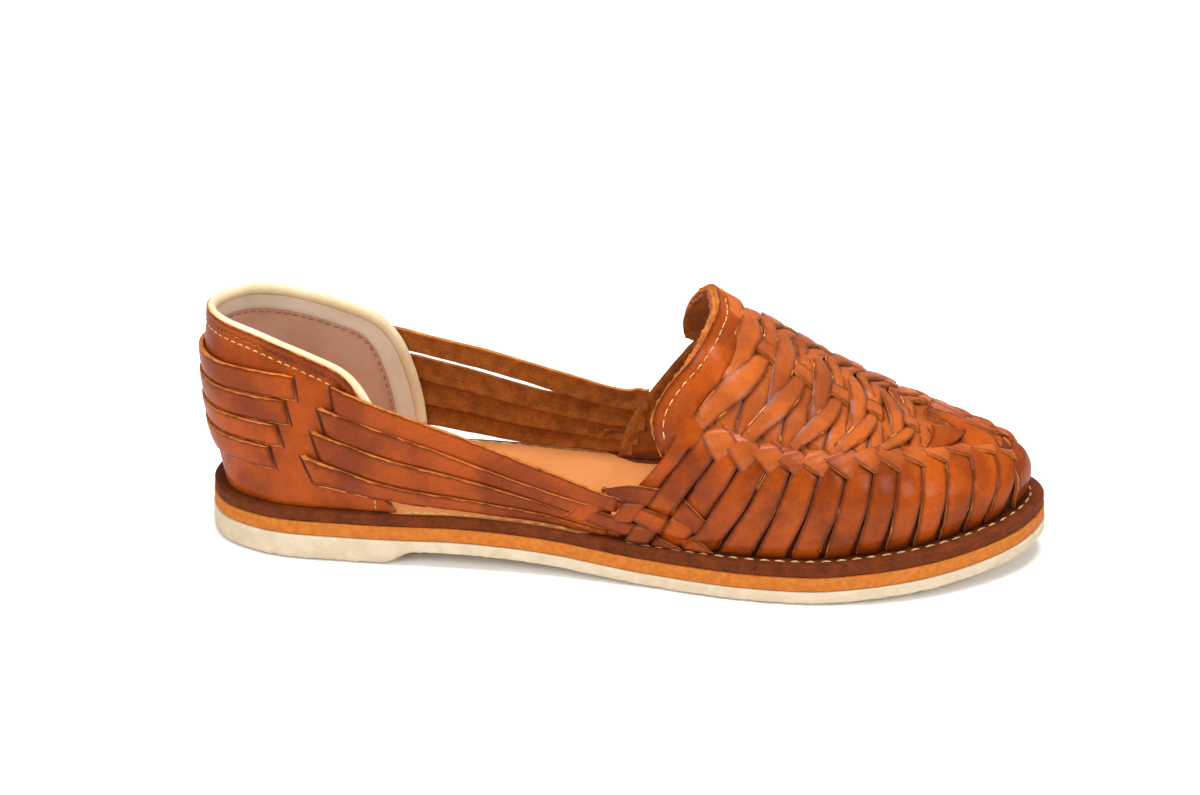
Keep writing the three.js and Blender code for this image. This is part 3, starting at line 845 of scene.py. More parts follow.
def out_of_shoe(point: Vector) -> Vector:
    """Direction away from the middle line of the shoe at a point of its own frame."""
    core = Vector((min(max(point.x, 25.0), 215.0), 2.0, LAST.board_top(point.x) + 8.0))
    return (point - core).normalized()


def into_shoe(point: Vector) -> Vector:
    """Direction towards the middle line of the shoe."""
    return -out_of_shoe(point)


# ---------------------------------------------------------------- sole
@dataclass(frozen=True)
class SlabSize:
    """One layer of the sole; heights are counted from the even sheet's underside."""

    name: str
    node: str
    slot: str
    low: float
    high: float
    inward: float
    round_low: float
    round_high: float
    rough: float = 0.0
    margin: float = 0.0
    columns: int = 720
    rows: int = 12


class Sole:
    """Crepe outsole, foam midsole and leather board, with the stitches on the board."""

    LAYERS = (
        SlabSize("crepe_outsole", "outsole", "outsole", 0.0, 3.65, -0.4, 0.9, 0.25, rough=0.45),
        SlabSize("foam_midsole", "midsole", "midsole", 3.8, 7.95, 0.0, 0.25, 0.3, rough=0.06),
        SlabSize("leather_board", "insole_board", "board", 8.1, 11.7, 0.3, 0.35, 0.8, rough=0.16, margin=1.0),
    )
    HEEL_DROP_END = 66.0
    WAIST = (60.0, 118.0)
    # x where the stitches of the waist run, and from where those of the forefoot run
    WAIST_SEAM = (63.0, 116.0)
    FOREFOOT_SEAM = 128.0
    WALL_SHARE = 0.8

    def __init__(self, palette: Palette) -> None:
        """Sole in the palette's finishes."""
        self.palette = palette

    def build(self) -> list[bpy.types.Object]:
        """Build the three layers and the board's stitches."""
        finishes = (("crepe",), ("midsole_foam",), ("board_rim", "board_top"))
        pieces = [self._slab(size, names) for size, names in zip(self.LAYERS, finishes)]
        return pieces + [self._stitches()]

    def _underside(self, x: float) -> float:
        """Height of the outsole's underside: flat under the heel, then stepping up to the even sheet."""
        step = ease(LAYERS.heel_end, self.HEEL_DROP_END, x)
        return LAST.lift(x) * step

    def _margin(self, x: float, size: SlabSize) -> float:
        """Width of the dyed margin on the board's top, which is a hair wide at the bare waist."""
        bare = ease(self.WAIST[0] - 6, self.WAIST[0], x) * (1 - ease(self.WAIST[1] - 4, self.WAIST[1] + 8, x))
        return mix(size.margin * 7.0, size.margin * 0.5, bare)

    def _slab(self, size: SlabSize, names: Sequence[str]) -> bpy.types.Object:
        """Build one layer as a closed body.

        Args:
            size: the layer's dimensions.
            names: finishes of its wall and of its top face.

        Returns:
            The piece.
        """
        work = Work(size.name, seed=11)
        height = size.high - size.low
        side_share = self.WALL_SHARE if size.margin else 1.0

        def low(x: float) -> float:
            """Underside of the layer over the floor."""
            return self._underside(x) if size.low == 0 else LAST.lift(x) + size.low

        def inward(turn: float, share: float) -> float:
            """How far in from the sole's outline the wall stands, at a share of its height."""
            near_low = max(0.0, 1 - share * height / size.round_low)
            near_high = max(0.0, 1 - (1 - share) * height / size.round_high)
            base = size.inward + size.round_low * (1 - math.sqrt(max(0.0, 1 - near_low ** 2)))
            base += size.round_high * (1 - math.sqrt(max(0.0, 1 - near_high ** 2)))
            place = LAST.outline(turn)
            wave = noise.noise(Vector((place.x * 0.35, place.y * 0.35, share * 2))) * 0.35
            crumb = noise.noise(Vector((place.x * 3.1, place.y * 3.1, share * 9 + 7)))
            return base + size.rough * (wave + crumb * (0.3 + 1.1 * (1 - share) ** 3))

        def wall(s: float, t: float) -> Vector:
            """Wall and, past its top edge, the margin of the top face."""
            share = min(t / side_share, 1.0)
            point = LAST.outline_in(s, inward(s, share))
            if t > side_share:
                over = (t - side_share) / (1 - side_share)
                point = LAST.outline_in(s, inward(s, 1.0) + over * self._margin(point.x, size))
            x = point.x
            point.z = mix(low(x), LAST.lift(x) + size.high, share)
            return point

        def face(share: float) -> Surface:
            """Top or bottom face between the two edges of the wall."""
            def surface(s: float, t: float) -> Vector:
                """Point between the outer and the inner edge."""
                return wall(t / 2, share).lerp(wall(1 - t / 2, share), s)
            return surface

        work.sheet(wall, size.columns, size.rows, out_of_shoe, tint=0.4, ring=True)
        half = size.columns // 2
        work.sheet(face(1.0), 14, half, lambda _: Vector((0, 0, 1)), tint=0.3, slot=len(names) - 1, ring=True)
        work.sheet(face(0.0), 14, half, lambda _: Vector((0, 0, -1)), tint=0.5, ring=True)
        bmesh.ops.remove_doubles(work.bm, verts=work.bm.verts, dist=1e-6)
        return work.write([self.palette[name] for name in names], size.slot, (size.node,))

    def _stitches(self) -> bpy.types.Object:
        """Stitches through the board: along both edges of the waist and round the forefoot's rim."""
        work = Work("board_stitches", seed=12)

        def row(first: float, last: float, inward: Callable[[float], float]
                ) -> Callable[[float], tuple[Vector, Vector]]:
            """Line on the board's top between two turns."""
            def line(share: float) -> tuple[Vector, Vector]:
                """Point of the line and the way up."""
                turn = mix(first, last, share)
                x = LAST.outline(turn).x
                point = LAST.outline_in(turn, inward(x))
                point.z = LAST.board_top(point.x)
                return point, Vector((0, 0, 1))
            return line

        for side in Side:
            start, end = (LAST.turn_at(x, side) for x in self.WAIST_SEAM)
            work.seam(row(start, end, lambda x: 2.7), pitch=4.9, length=3.7, radius=0.36)
        first, last = (LAST.turn_at(self.FOREFOOT_SEAM, side) for side in (Side.OUTER, Side.INNER))
        work.seam(row(first, last, lambda x: LAST.rim(x) * 0.8), pitch=4.4, length=2.9, radius=0.3)
        return work.write([self.palette["cream_thread"]], "board")


# ---------------------------------------------------------------- heel
class Rim:
    """The heel counter's rim, laid flat as distance round the shoe and height over the board."""

    ROWS = ((60, 3), (58.8, 14), (56, 25), (51.5, 35), (45, 42), (34, 47), (22, 51), (11, 54))
    BACK_HEIGHT = 55.0
    SAMPLES = 60

    def __init__(self) -> None:
        """Trace the rim from its outer front end, round the back, to its inner front end."""
        outer = [Vector((LAST.turn_at(x, Side.OUTER) * LAST.girth, height)) for x, height in self.ROWS]
        inner = [Vector(((LAST.turn_at(x, Side.INNER) - 1) * LAST.girth, height)) for x, height in self.ROWS]
        knots = outer + [Vector((0.0, self.BACK_HEIGHT))] + inner[::-1]
        self.points: list[Vector] = []
        last = len(knots) - 1
        for i in range(last):
            p0 = knots[i - 1] if i else knots[0] * 2 - knots[1]
            p3 = knots[i + 2] if i < last - 1 else knots[last] * 2 - knots[last - 1]
            self.points += [centripetal(k / self.SAMPLES, p0, knots[i], knots[i + 1], p3)
                            for k in range(self.SAMPLES)]
        self.points.append(knots[last])
        self.walked = [0.0]
        for a, b in zip(self.points, self.points[1:]):
            self.walked.append(self.walked[-1] + (b - a).length)
        self.length = self.walked[-1]

    def place(self, along: float, below: float) -> tuple[float, float]:
        """Turn and height of a place a distance below the rim.

        Args:
            along: 0 at the outer front end, 1 at the inner one.
            below: mm from the rim, measured square to it.

        Returns:
            The turn and the height over the board.
        """
        distance = min(max(along, 0.0), 1.0) * self.length
        low, high = 0, len(self.walked) - 1
        while high - low > 1:
            middle = (low + high) // 2
            low, high = (middle, high) if self.walked[middle] <= distance else (low, middle)
        share = (distance - self.walked[low]) / (self.walked[high] - self.walked[low])
        here = self.points[low].lerp(self.points[high], share)
        ahead = (self.points[min(high + 4, len(self.points) - 1)] - self.points[max(low - 4, 0)]).normalized()
        return (here.x - ahead.y * below) / LAST.girth, here.y + ahead.x * below

    def skin(self, along: float, below: float, inset: float) -> Vector:
        """Point of the heel a distance below the rim."""
        turn, height = self.place(along, below)
        return at_height(turn, height, inset)


def at_height(turn: float, height: float, inset: float) -> Vector:
    """Point of the skin on a rib at a height over the board."""
    return LAST.skin(turn, LAST.climb_at(turn % 1.0, height), inset)


class Heel:
    """Counter with its lining, rolled collar, seams, and the bands round its back."""

    # x at the top and at the bottom of a band's front end, heights of its edges
    BANDS = ((29.8, 31.5, 40.6, 33.4), (27.9, 30.0, 33.1, 25.8), (25.8, 27.9, 25.5, 18.8),
             (23.6, 25.4, 18.5, 11.4))
    BAND_RISE = 0.9
    FRONT_FOOT = 60.6
    # x at the top and at the bottom of a strap's slit, heights of its ends
    STRAP_SLITS = ((40.2, 41.9, 38.2, 30.4), (37.0, 40.0, 31.0, 22.8), (35.3, 38.3, 23.8, 14.9),
                   (32.4, 35.9, 16.2, 8.0))
    # how far below the rim the leather stops, and depths of the lining and of its band under the face
    BELOW_RIM = 1.2
    LINING_DEPTH, LINING_BAND_DEPTH = 2.3, 2.5
    # how far below the rim the two seams run, and the depth of the inner one under the face
    SEAM_BELOW, LINING_SEAM_BELOW = 5.2, 7.4
    LINING_SEAM_DEPTH = 2.95
    SLIT_WIDTH = 0.55
    BAND_WALL = 1.3
    ROLL_RADIUS = 1.5
    TOOTH_PITCH, TOOTH_DEPTH = 2.6, 0.75

    def __init__(self, palette: Palette) -> None:
        """Heel in the palette's finishes."""
        self.palette = palette
        self.rim = Rim()

    def build(self) -> list[bpy.types.Object]:
        """Build every piece of the heel."""
        return [self._counter(), self._lining(), *self._bands(), self._collar(), self._scallop(),
                self._seams(), self._lining_seam()]

    def _wall(self, below: float, inset: float) -> Surface:
        """Surface of the counter from the board up to a distance below the rim."""
        outer = LAST.turn_at(self.FRONT_FOOT, Side.OUTER)
        inner = LAST.turn_at(self.FRONT_FOOT, Side.INNER) - 1

        def surface(s: float, t: float) -> Vector:
            """Point for a share round the heel and a share of the height."""
            turn, height = self.rim.place(s, below)
            foot = mix(outer, inner, s)
            up = t ** 0.9
            return at_height(mix(foot, turn, up), height * up, inset)
        return surface

    def _counter(self) -> bpy.types.Object:
        """Outer leather of the counter, with the painted shadows of its slits."""
        work = Work("counter_leather", seed=21)
        work.sheet(self._wall(self.BELOW_RIM, LAYERS.counter_inset), 150, 34, out_of_shoe, tint=0.35)
        for side in Side:
            for slit in (*self.STRAP_SLITS, *self.BANDS):
                self._slit_shadow(work, side, *slit)
        names = ("counter_leather", "strip_cut_edge", "slit_shadow")
        return work.write([self.palette[name] for name in names], "strip_leather", ("heel_counter",),
                          wall=1.1, rim=1, round_edge=0.25)

    def _slit_shadow(self, work: Work, side: Side, top_x: float, low_x: float, top: float, low: float) -> None:
        """Painted shadow of a slit: a dark lens laid just over the counter, leaning forward towards its foot.
        """
        def surface(s: float, t: float) -> Vector:
            """Lens-shaped dark patch."""
            reach = mix(-0.09, 1.09, t)
            width = self.SLIT_WIDTH * math.sin(math.pi * mix(0.04, 0.96, t)) ** 0.5
            turn = LAST.turn_at(mix(low_x, top_x, reach) + (s - 0.5) * width, side)
            return at_height(turn, mix(low, top, reach), LAYERS.counter_inset - 0.12)
        work.sheet(surface, 2, 10, out_of_shoe, tint=0.9, slot=2)

    def _lining(self) -> bpy.types.Object:
        """Pale lining of the counter, with a lighter band along the rim."""
        work = Work("counter_lining", seed=22)
        wall = self._wall(self.BELOW_RIM, LAYERS.counter_inset + self.LINING_DEPTH)
        work.sheet(wall, 120, 26, into_shoe, tint=0.4)

        def band(s: float, t: float) -> Vector:
            """Lighter band that the collar's roll turns into."""
            return self.rim.skin(s, mix(0.6, 6.6, t), LAYERS.counter_inset + self.LINING_BAND_DEPTH)
        work.sheet(band, 150, 4, into_shoe, tint=0.3, slot=1)
        names = ("lining_leather", "lining_band")
        return work.write([self.palette[name] for name in names], "binding", (), wall=0.7, round_edge=0.15)

    def _bands(self) -> list[bpy.types.Object]:
        """The four bands that come out of the slits and wrap the heel's back."""
        pieces = []
        for number, (top_x, low_x, top, bottom) in enumerate(self.BANDS, start=1):
            work = Work(f"back_band_{number}", seed=30 + number)
            high = (LAST.turn_at(top_x, Side.OUTER), LAST.turn_at(top_x, Side.INNER) - 1)
            low = (LAST.turn_at(low_x, Side.OUTER), LAST.turn_at(low_x, Side.INNER) - 1)

            def surface(s: float, t: float) -> Vector:
                """Point across the band, from its bottom edge, and along it."""
                rise = self.BAND_RISE * math.sin(math.pi * t)
                turn = mix(mix(low[0], high[0], s), mix(low[1], high[1], s), t)
                tuck = 1 - ease(0.0, 0.016, min(t, 1 - t))
                inset = mix(-1.15, 1.3, tuck) - 0.25 * (1 - (2 * s - 1) ** 2) + mix(0.5, -0.3, s)
                return at_height(turn, mix(bottom, top, s) + rise, inset)
            work.sheet(surface, 6, 90, out_of_shoe, tint=0.15 + 0.2 * number % 0.6, raw=0.75)
            names = ("strip_glossy", "strip_cut_edge", "strip_suede")
            pieces.append(work.write([self.palette[name] for name in names], "strip_leather",
                                     (f"heel_band_{number}",), wall=self.BAND_WALL, rim=1, back=2,
                                     round_edge=0.15))
        return pieces

    def _collar(self) -> bpy.types.Object:
        """Rolled binding over the rim."""
        work = Work("collar_roll", seed=23)
        middle = LAYERS.counter_inset + 1.2

        def surface(s: float, t: float) -> Vector:
            """Point round the roll and along it."""
            angle = mix(-0.18, 1.18, s) * math.pi
            inset = middle - self.ROLL_RADIUS * math.cos(angle)
            below = 1.0 - 1.7 * math.sin(angle)
            along = mix(0.012, 0.988, t)
            return self.rim.skin(along, below, inset)
        work.sheet(surface, 14, 200, out_of_shoe, tint=0.3)
        names = ("collar_roll", "collar_roll")
        return work.write([self.palette[name] for name in names], "binding", ("collar_binding",), wall=0.5)

    def _scallop(self) -> bpy.types.Object:
        """Pinked strip under the roll, outside."""
        work = Work("pinked_strip", seed=24)
        count = round(self.rim.length / self.TOOTH_PITCH)

        def surface(s: float, t: float) -> Vector:
            """Point across the strip and along the rim."""
            tooth = abs(math.sin(math.pi * t * count)) ** 0.6
            below = mix(self.BELOW_RIM, 3.3 + self.TOOTH_DEPTH * tooth, s)
            return self.rim.skin(mix(0.01, 0.99, t), below, LAYERS.counter_inset - 0.75 + 0.3 * s)
        work.sheet(surface, 3, count * 8, out_of_shoe, tint=0.5)
        names = ("strip_glossy", "strip_cut_edge")
        return work.write([self.palette[name] for name in names], "strip_leather", (), wall=0.7, rim=1,
                          round_edge=0.12)

    def _seams(self) -> bpy.types.Object:
        """Cream stitches under the pinked strip and at the counter's front foot."""
        work = Work("counter_stitches", seed=25)

        def line(share: float) -> tuple[Vector, Vector]:
            """Point of the seam and the way out."""
            along = mix(0.03, 0.97, share)
            point = self.rim.skin(along, self.SEAM_BELOW, LAYERS.counter_inset - 0.05)
            return point, out_of_shoe(point)
        work.seam(line, pitch=2.6, length=1.8, radius=0.22)
        for side in Side:
            turn = LAST.turn_at(54.5, side)
            for height in (0.7, 2.3, 3.9):
                low, high = (at_height(turn, h, LAYERS.counter_inset - 0.1) for h in (height, height + 1.3))
                work.stitch(low, high, out_of_shoe(low), radius=0.25)
        return work.write([self.palette["cream_thread"]], "strip_leather")

    def _lining_seam(self) -> bpy.types.Object:
        """Brown stitches in the lining, along the lighter band."""
        work = Work("lining_stitches", seed=26)

        def line(share: float) -> tuple[Vector, Vector]:
            """Point of the seam and the way in."""
            inset = LAYERS.counter_inset + self.LINING_SEAM_DEPTH
            point = self.rim.skin(mix(0.02, 0.98, share), self.LINING_SEAM_BELOW, inset)
            return point, into_shoe(point)
        work.seam(line, pitch=2.6, length=1.7, radius=0.2)
        return work.write([self.palette["brown_thread"]], "binding")


# ---------------------------------------------------------------- studio
class Studio:
    """Camera, lights and floor."""

    AZIMUTH = 6.67
    ELEVATION = 25.17
    DISTANCE = 0.850
    TARGET = (0.725, 0.771, 10.0)
    # mm, with the sensor 36 mm wide
    LENS = 85.0425
    # degrees that the camera is turned away from its target
    PAN = 0.454759
    TILT = 2.084950
    ROOM_LIGHT = 0.42
    FLOOR_HALF, FLOOR_DROP = 4.0, 0.0004
    # name, place, aim, size, watts
    LIGHTS = (
        ("overhead", (0.05, 0.0, 1.2), (0, 0, 0), 0.75, 20.0),
        ("front left", (-0.8, -1.2, 0.9), (0, 0, 0.03), 0.8, 11.5),
        ("front right", (1.1, -0.8, 0.8), (0.05, 0, 0.03), 0.6, 7.0),
    )

    def __init__(self, palette: Palette) -> None:
        """Studio in the palette's finishes."""
        self.palette = palette

    def build(self) -> None:
        """Place the camera first, then the floor and the lights."""
        self._camera()
        self._floor()
        self._lights()

    def _camera(self) -> None:
        """Camera at the viewing angle, turned so that the shoe sits where it does in the frame."""
        azimuth, elevation = math.radians(self.AZIMUTH), math.radians(self.ELEVATION)
        back = Vector((math.sin(azimuth) * math.cos(elevation), -math.cos(azimuth) * math.cos(elevation),
                       math.sin(elevation)))
        data = bpy.data.cameras.new("camera")
        data.sensor_width = 36.0
        data.lens = self.LENS
        data.clip_start, data.clip_end = 0.05, 20.0
        camera = bpy.data.objects.new("camera", data)
        bpy.context.scene.collection.objects.link(camera)
        camera.location = Vector(self.TARGET) * MM + back * self.DISTANCE
        level = back.to_track_quat("Z", "Y").to_matrix()
        pan = Matrix.Rotation(math.radians(self.PAN), 3, "Y")
        tilt = Matrix.Rotation(math.radians(self.TILT), 3, "X")
        camera.rotation_euler = (level @ pan @ tilt).to_euler()
        bpy.context.scene.camera = camera

    def _floor(self) -> None:
        """White floor that runs out past the frame."""
        work = Work("studio_floor", seed=3)
        bmesh.ops.create_grid(work.bm, x_segments=1, y_segments=1, size=self.FLOOR_HALF)
        mesh = bpy.data.meshes.new("studio_floor")
        work.bm.to_mesh(mesh)
        work.bm.free()
        floor = bpy.data.objects.new("studio_floor", mesh)
        bpy.context.scene.collection.objects.link(floor)
        floor.location.z = -self.FLOOR_DROP
        mesh.materials.append(self.palette["studio_floor"])

    def _lights(self) -> None:
        """Three broad soft lights and a white room."""
        scene = bpy.context.scene
        scene.view_settings.view_transform = "Standard"
        world = bpy.data.worlds.new("white room")
        world.use_nodes = True
        background = world.node_tree.nodes["Background"]
        background.inputs["Color"].default_value = (1.0, 1.0, 1.0, 1.0)
        background.inputs["Strength"].default_value = self.ROOM_LIGHT
        scene.world = world
        for name, place, aim, size, power in self.LIGHTS:
            data = bpy.data.lights.new(name, "AREA")
            data.shape = "SQUARE"
            data.size = size
            data.energy = power
            light = bpy.data.objects.new(name, data)
            scene.collection.objects.link(light)
            light.location = place
            light.rotation_euler = (Vector(place) - Vector(aim)).to_track_quat("Z", "Y").to_euler()


# ---------------------------------------------------------------- strips
@dataclass(frozen=True)
class Level:
    """Height of a strip at a share of its length: over its neighbours or tucked under them."""

    share: float
    inset: float


OVER, UNDER, DEEP = -0.95, 0.75, 1.1


def levels(*rows: tuple[float, float]) -> tuple[Level, ...]:
    """Levels from pairs of share and inset."""
    return tuple(Level(*row) for row in rows)


def level_at(steps: Sequence[Level], share: float) -> float:
    """Inset at a share of a strip's length, eased from level to level."""
    for before, after in zip(steps, steps[1:]):
        if share <= after.share:
            return mix(before.inset, after.inset, ease(before.share, after.share, share))
    return steps[-1].inset


@dataclass(frozen=True)
class Strip:
    """A strip of the weave between two edge lines on the chart, both drawn from its start to its end."""

    left: tuple[Flat, ...]
    right: tuple[Flat, ...]
    steps: tuple[Level, ...]
    crown: float = 0.22
    trim: float = 0.12
    tilt: float = 0.0
    soft: float = 0.7
    skew: float = 0.0
    columns: int = 6
    rows: int = 30

    def surface(self, chart: Chart, wobble: float) -> Surface:
        """Face side of the strip on a chart.

        Args:
            chart: the side of the shoe it lies on.
            wobble: seed of the slight unevenness of its cut edges.

        Returns:
            The surface, for a share across and a share along.
        """
        def point(s: float, t: float) -> Vector:
            """Point of the face side."""
            a, b = along_line(self.left, t, self.soft), along_line(self.right, t, self.soft)
            gap = max((b - a).length, 1.5)
            wave = noise.noise(Vector((wobble, t * 6.0, 2.0 * round(s)))) * 0.16
            share = mix(self.trim / gap, 1 - self.trim / gap, s) + (wave / gap) * (2 * abs(s - 0.5))
            place = a.lerp(b, share)
            bow = self.crown * (1 - (2 * s - 1) ** 2)
            sway = noise.noise(Vector((wobble * 1.7, t * 2.5, s * 1.5))) * 0.22
            lean = self.tilt * (s - 0.5)
            level = level_at(self.steps, t + self.skew * s * ease(0.45, 0.62, t))
            return chart.at(place.x, place.y, level - bow - sway + lean)
        return point


def lay(work: Work, strip: Strip, chart: Chart, wobble: float, raw: float = 0.5) -> None:
    """Add a strip, laid on a chart, to a piece."""
    work.sheet(strip.surface(chart, wobble), strip.columns, strip.rows, out_of_shoe, raw=raw)


STRIP_NAMES = ("strip_glossy", "strip_cut_edge", "strip_suede")


def strip_piece(work: Work, palette: Palette, wall: float = 1.35,
                face: str = STRIP_NAMES[0]) -> bpy.types.Object:
    """Write a piece made of strips: glossy face, cut edges and flesh back."""
    return work.write([palette[name] for name in (face, *STRIP_NAMES[1:])], "strip_leather",
                      wall=wall, rim=1, back=2, round_edge=0.14)


class Straps:
    """The four straps at each side, from the counter's slits to the woven vamp."""

    # x, then the heights of the five edges, top edge first
    EDGES = {
        Side.OUTER: (
            (32, 40.4, 32.6, 25.2, 16.6, 8.7), (36, 39.3, 31.6, 24.2, 15.7, 8.0),
            (60, 31.4, 24.4, 16.8, 8.6, 3.9), (85, 23.2, 15.8, 11.0, 5.2, 1.4),
            (104, 17.6, 10.8, 6.9, 3.4, 0.8), (118, 14.4, 9.0, 4.4, 2.0, 0.4),
            (130, 12.6, 8.4, 3.4, 1.2, 0.3),
        ),
        Side.INNER: (
            (32, 40.4, 32.6, 25.2, 16.6, 8.7), (36, 39.3, 31.6, 24.2, 15.7, 8.0),
            (60, 33.8, 26.8, 19.2, 11.4, 4.6), (85, 28.4, 21.2, 13.8, 7.0, 1.0),
            (104, 24.4, 17.4, 10.8, 5.2, 0.0), (122, 21.2, 15.0, 9.4, 4.6, -0.3),
            (130, 24.0, 17.0, 10.5, 5.0, -0.3),
        ),
    }
    # x of the slit at the strap's top edge and at its bottom edge
    SLITS = ((40.2, 41.9), (37.0, 40.0), (35.3, 38.3), (32.4, 35.9))
    ENDS = {Side.OUTER: (128.0, 124.0, 125.5, 125.5), Side.INNER: (129.0, 128.0, 126.0, 124.0)}
    OUTSIDE_UNTIL, MERGED_FROM = 62.0, 106.0
    WALL = 1.4
    # mm between two straps, and how far the top two of the inner side part
    GAP, PARTED = 0.35, 0.8

    def __init__(self, palette: Palette) -> None:
        """Straps in the palette's finishes."""
        self.palette = palette

    def build(self) -> list[bpy.types.Object]:
        """Build the eight straps."""
        return [self._strap(side, number) for side in Side for number in range(4)]

    def _strap(self, side: Side, number: int) -> bpy.types.Object:
        """Build one strap, top one first."""
        work = Work(f"{side.name.lower()}_strap_{number + 1}", seed=40 + number)
        rows = self.EDGES[side]
        upper, lower = column(rows, number + 1), column(rows, number + 2)
        start, end = self.SLITS[number], self.ENDS[side][number]
        turns = {}

        def surface(s: float, t: float) -> Vector:
            """Point across the strap, from its bottom edge, and along it."""
            x = mix(mix(start[1], start[0], s), end, t)
            key = round(x, 2)
            if key not in turns:
                turns[key] = LAST.turn_at(x, side)
            slit = 1 - ease(0.0, 0.018, t)
            merged = ease(self.OUTSIDE_UNTIL, self.MERGED_FROM, x)
            tuck = ease(end - 3.6, end - 0.6, x)
            inset = mix(-1.3, -0.7, merged) + 2.6 * slit + 2.3 * tuck + mix(0.55, -0.35, s)
            inset += 0.5 * noise.noise(Vector((x * 0.03, number * 3.0, side.value)))
            bow = 0.3 * (1 - (2 * s - 1) ** 2)
            edge = 0.15 * noise.noise(Vector((x * 0.16, number * 5.0 + s, side.value * 2.0)))
            parted = -self.GAP
            if side is Side.INNER:
                parted = self.PARTED * ease(36, 50, x) * (1 - ease(92, 108, x))
            height = mix(lower(x) + parted * (number == 0), upper(x) - parted * (number == 1), s)
            height += edge * (2 * s - 1) - (self.GAP * (1 - s) if number else 0.0)
            return at_height(turns[key], height, inset - bow)
        work.sheet(surface, 6, 70, out_of_shoe, tint=0.3 + 0.15 * number, raw=0.6)
        return strip_piece(work, self.palette, wall=self.WALL)


# ---------------------------------------------------------------- woven vamp
class Vamp:
    """Suede-backed wall, throat band and every strip woven over the forefoot."""

    # place over the foot and chart distance of the throat band's rear edge, outer side and inner side
    REAR = {
        Side.OUTER: ((0.0, 149.3), (0.08, 150.0), (0.152, 149.6), (0.328, 146.4), (0.429, 143.3),
                     (0.506, 140.1), (0.558, 138.1), (0.615, 136.4), (0.666, 136.0), (0.71, 136.7),
                     (0.76, 138.4), (1.0, 140.0)),
        Side.INNER: ((0.0, 149.3), (0.10, 147.9), (0.167, 146.6), (0.321, 143.0), (0.417, 140.4),
                     (0.508, 138.8), (0.559, 138.8), (0.6, 139.0), (0.7, 134.8), (0.784, 130.8),
                     (0.9, 125.5), (1.0, 123.0)),
    }
    # place over the foot and chart distance of the throat band's front edge
    BAND_FRONT = ((0.0, 157.6), (0.13, 155.6), (0.24, 154.2), (0.33, 153.0), (0.48, 149.8), (0.58, 145.8),
                  (0.635, 147.2), (0.67, 146.4), (0.71, 143.6), (0.745, 141.0))
    # seams between the side strips: foot on the board, middle, top valley, and the next strip's peak
    SEAMS = (
        ((124.5, -1.0), (130.4, -0.885), (137.8, -0.757), (142.0, -0.658)),
        ((129.5, -1.0), (136.0, -0.875), (144.0, -0.706), (146.8, -0.667)),
        ((135.8, -1.0), (142.0, -0.880), (149.2, -0.718), (151.9, -0.664)),
        ((142.4, -1.0), (147.9, -0.905), (154.7, -0.719), (157.6, -0.650)),
        ((149.8, -1.0), (156.2, -0.860), (161.5, -0.698), (164.3, -0.641)),
        ((158.4, -1.0), (163.6, -0.860), (168.1, -0.674), (170.5, -0.619)),
        ((167.5, -1.0), (171.9, -0.845), (175.8, -0.652), (177.5, -0.575)),
        ((176.6, -1.0), (180.4, -0.825), (183.6, -0.634), (186.3, -0.519)),
        ((185.7, -1.0), (189.2, -0.795), (192.2, -0.573), (194.0, -0.474)),
        ((194.8, -1.0), (197.8, -0.770), (200.5, -0.539), (202.4, -0.431)),
        ((203.9, -1.0), (206.9, -0.730), (209.5, -0.487), (211.7, -0.385)),
        ((213.0, -1.0), (215.9, -0.690), (218.9, -0.439), (221.0, -0.342)),
        ((222.1, -1.0), (225.9, -0.680), (230.3, -0.393), (233.5, -0.311)),
        ((231.2, -1.0), (237.0, -0.700), (244.4, -0.382), (248.4, -0.316)),
        ((240.3, -1.0), (247.0, -0.740), (254.8, -0.503), (256.0, -0.440)),
    )
    # levels along the first four side strips, from the foot up, where strips from the straps cross them
    CROSSED = (
        levels((0, UNDER), (0.10, UNDER), (0.15, OVER), (0.28, OVER), (0.33, UNDER), (0.46, UNDER),
               (0.54, -0.3), (0.88, -0.4), (1, DEEP)),
        levels((0, OVER), (0.10, OVER), (0.15, UNDER), (0.25, UNDER), (0.31, OVER), (0.46, OVER),
               (0.56, -0.4), (0.88, -0.5), (1, DEEP)),
        levels((0, UNDER), (0.07, UNDER), (0.12, OVER), (0.22, OVER), (0.27, UNDER), (0.42, UNDER),
               (0.50, -0.4), (0.88, -0.5), (1, DEEP)),
        levels((0, UNDER), (0.05, UNDER), (0.12, OVER), (0.40, OVER), (0.55, -0.4), (0.88, -0.5), (1, DEEP)),
    )
    # strips that come forward from the straps: upper edge, lower edge, levels from the rear end
    FORWARD = (
        (((124.9, -.876), (131, -.844), (138, -.842), (143.2, -.863), (147.6, -.909), (151.4, -.965)),
         ((125.2, -.879), (129.4, -.897), (135.2, -.900), (140.3, -.921), (145.3, -.957), (149.9, -1.0)),
         levels((0, -0.4), (0.1, OVER), (0.36, OVER), (0.44, UNDER), (0.56, UNDER), (0.62, OVER),
                (0.78, OVER), (0.86, UNDER), (1, DEEP))),
        (((127.6, -.890), (130.5, -.899), (134.8, -.902), (140, -.923), (145.2, -.964), (149.6, -.999)),
         ((126.4, -.929), (128.8, -.935), (132.6, -.947), (137.9, -.978), (142.5, -.999), (147.6, -1.0)),
         levels((0, DEEP), (0.14, UNDER), (0.3, UNDER), (0.38, OVER), (0.54, OVER), (0.62, UNDER),
                (0.76, UNDER), (0.84, OVER), (1, OVER))),
        (((120.6, -.934), (124.8, -.937), (132.2, -.948), (137.2, -.977), (142.8, -1.0)),
         ((118.8, -.970), (122.8, -.976), (130.6, -.989), (135.6, -1.0), (138.0, -1.0)),
         levels((0, DEEP), (0.16, OVER), (0.48, OVER), (0.56, UNDER), (0.72, UNDER), (0.8, OVER), (1, OVER))),
    )
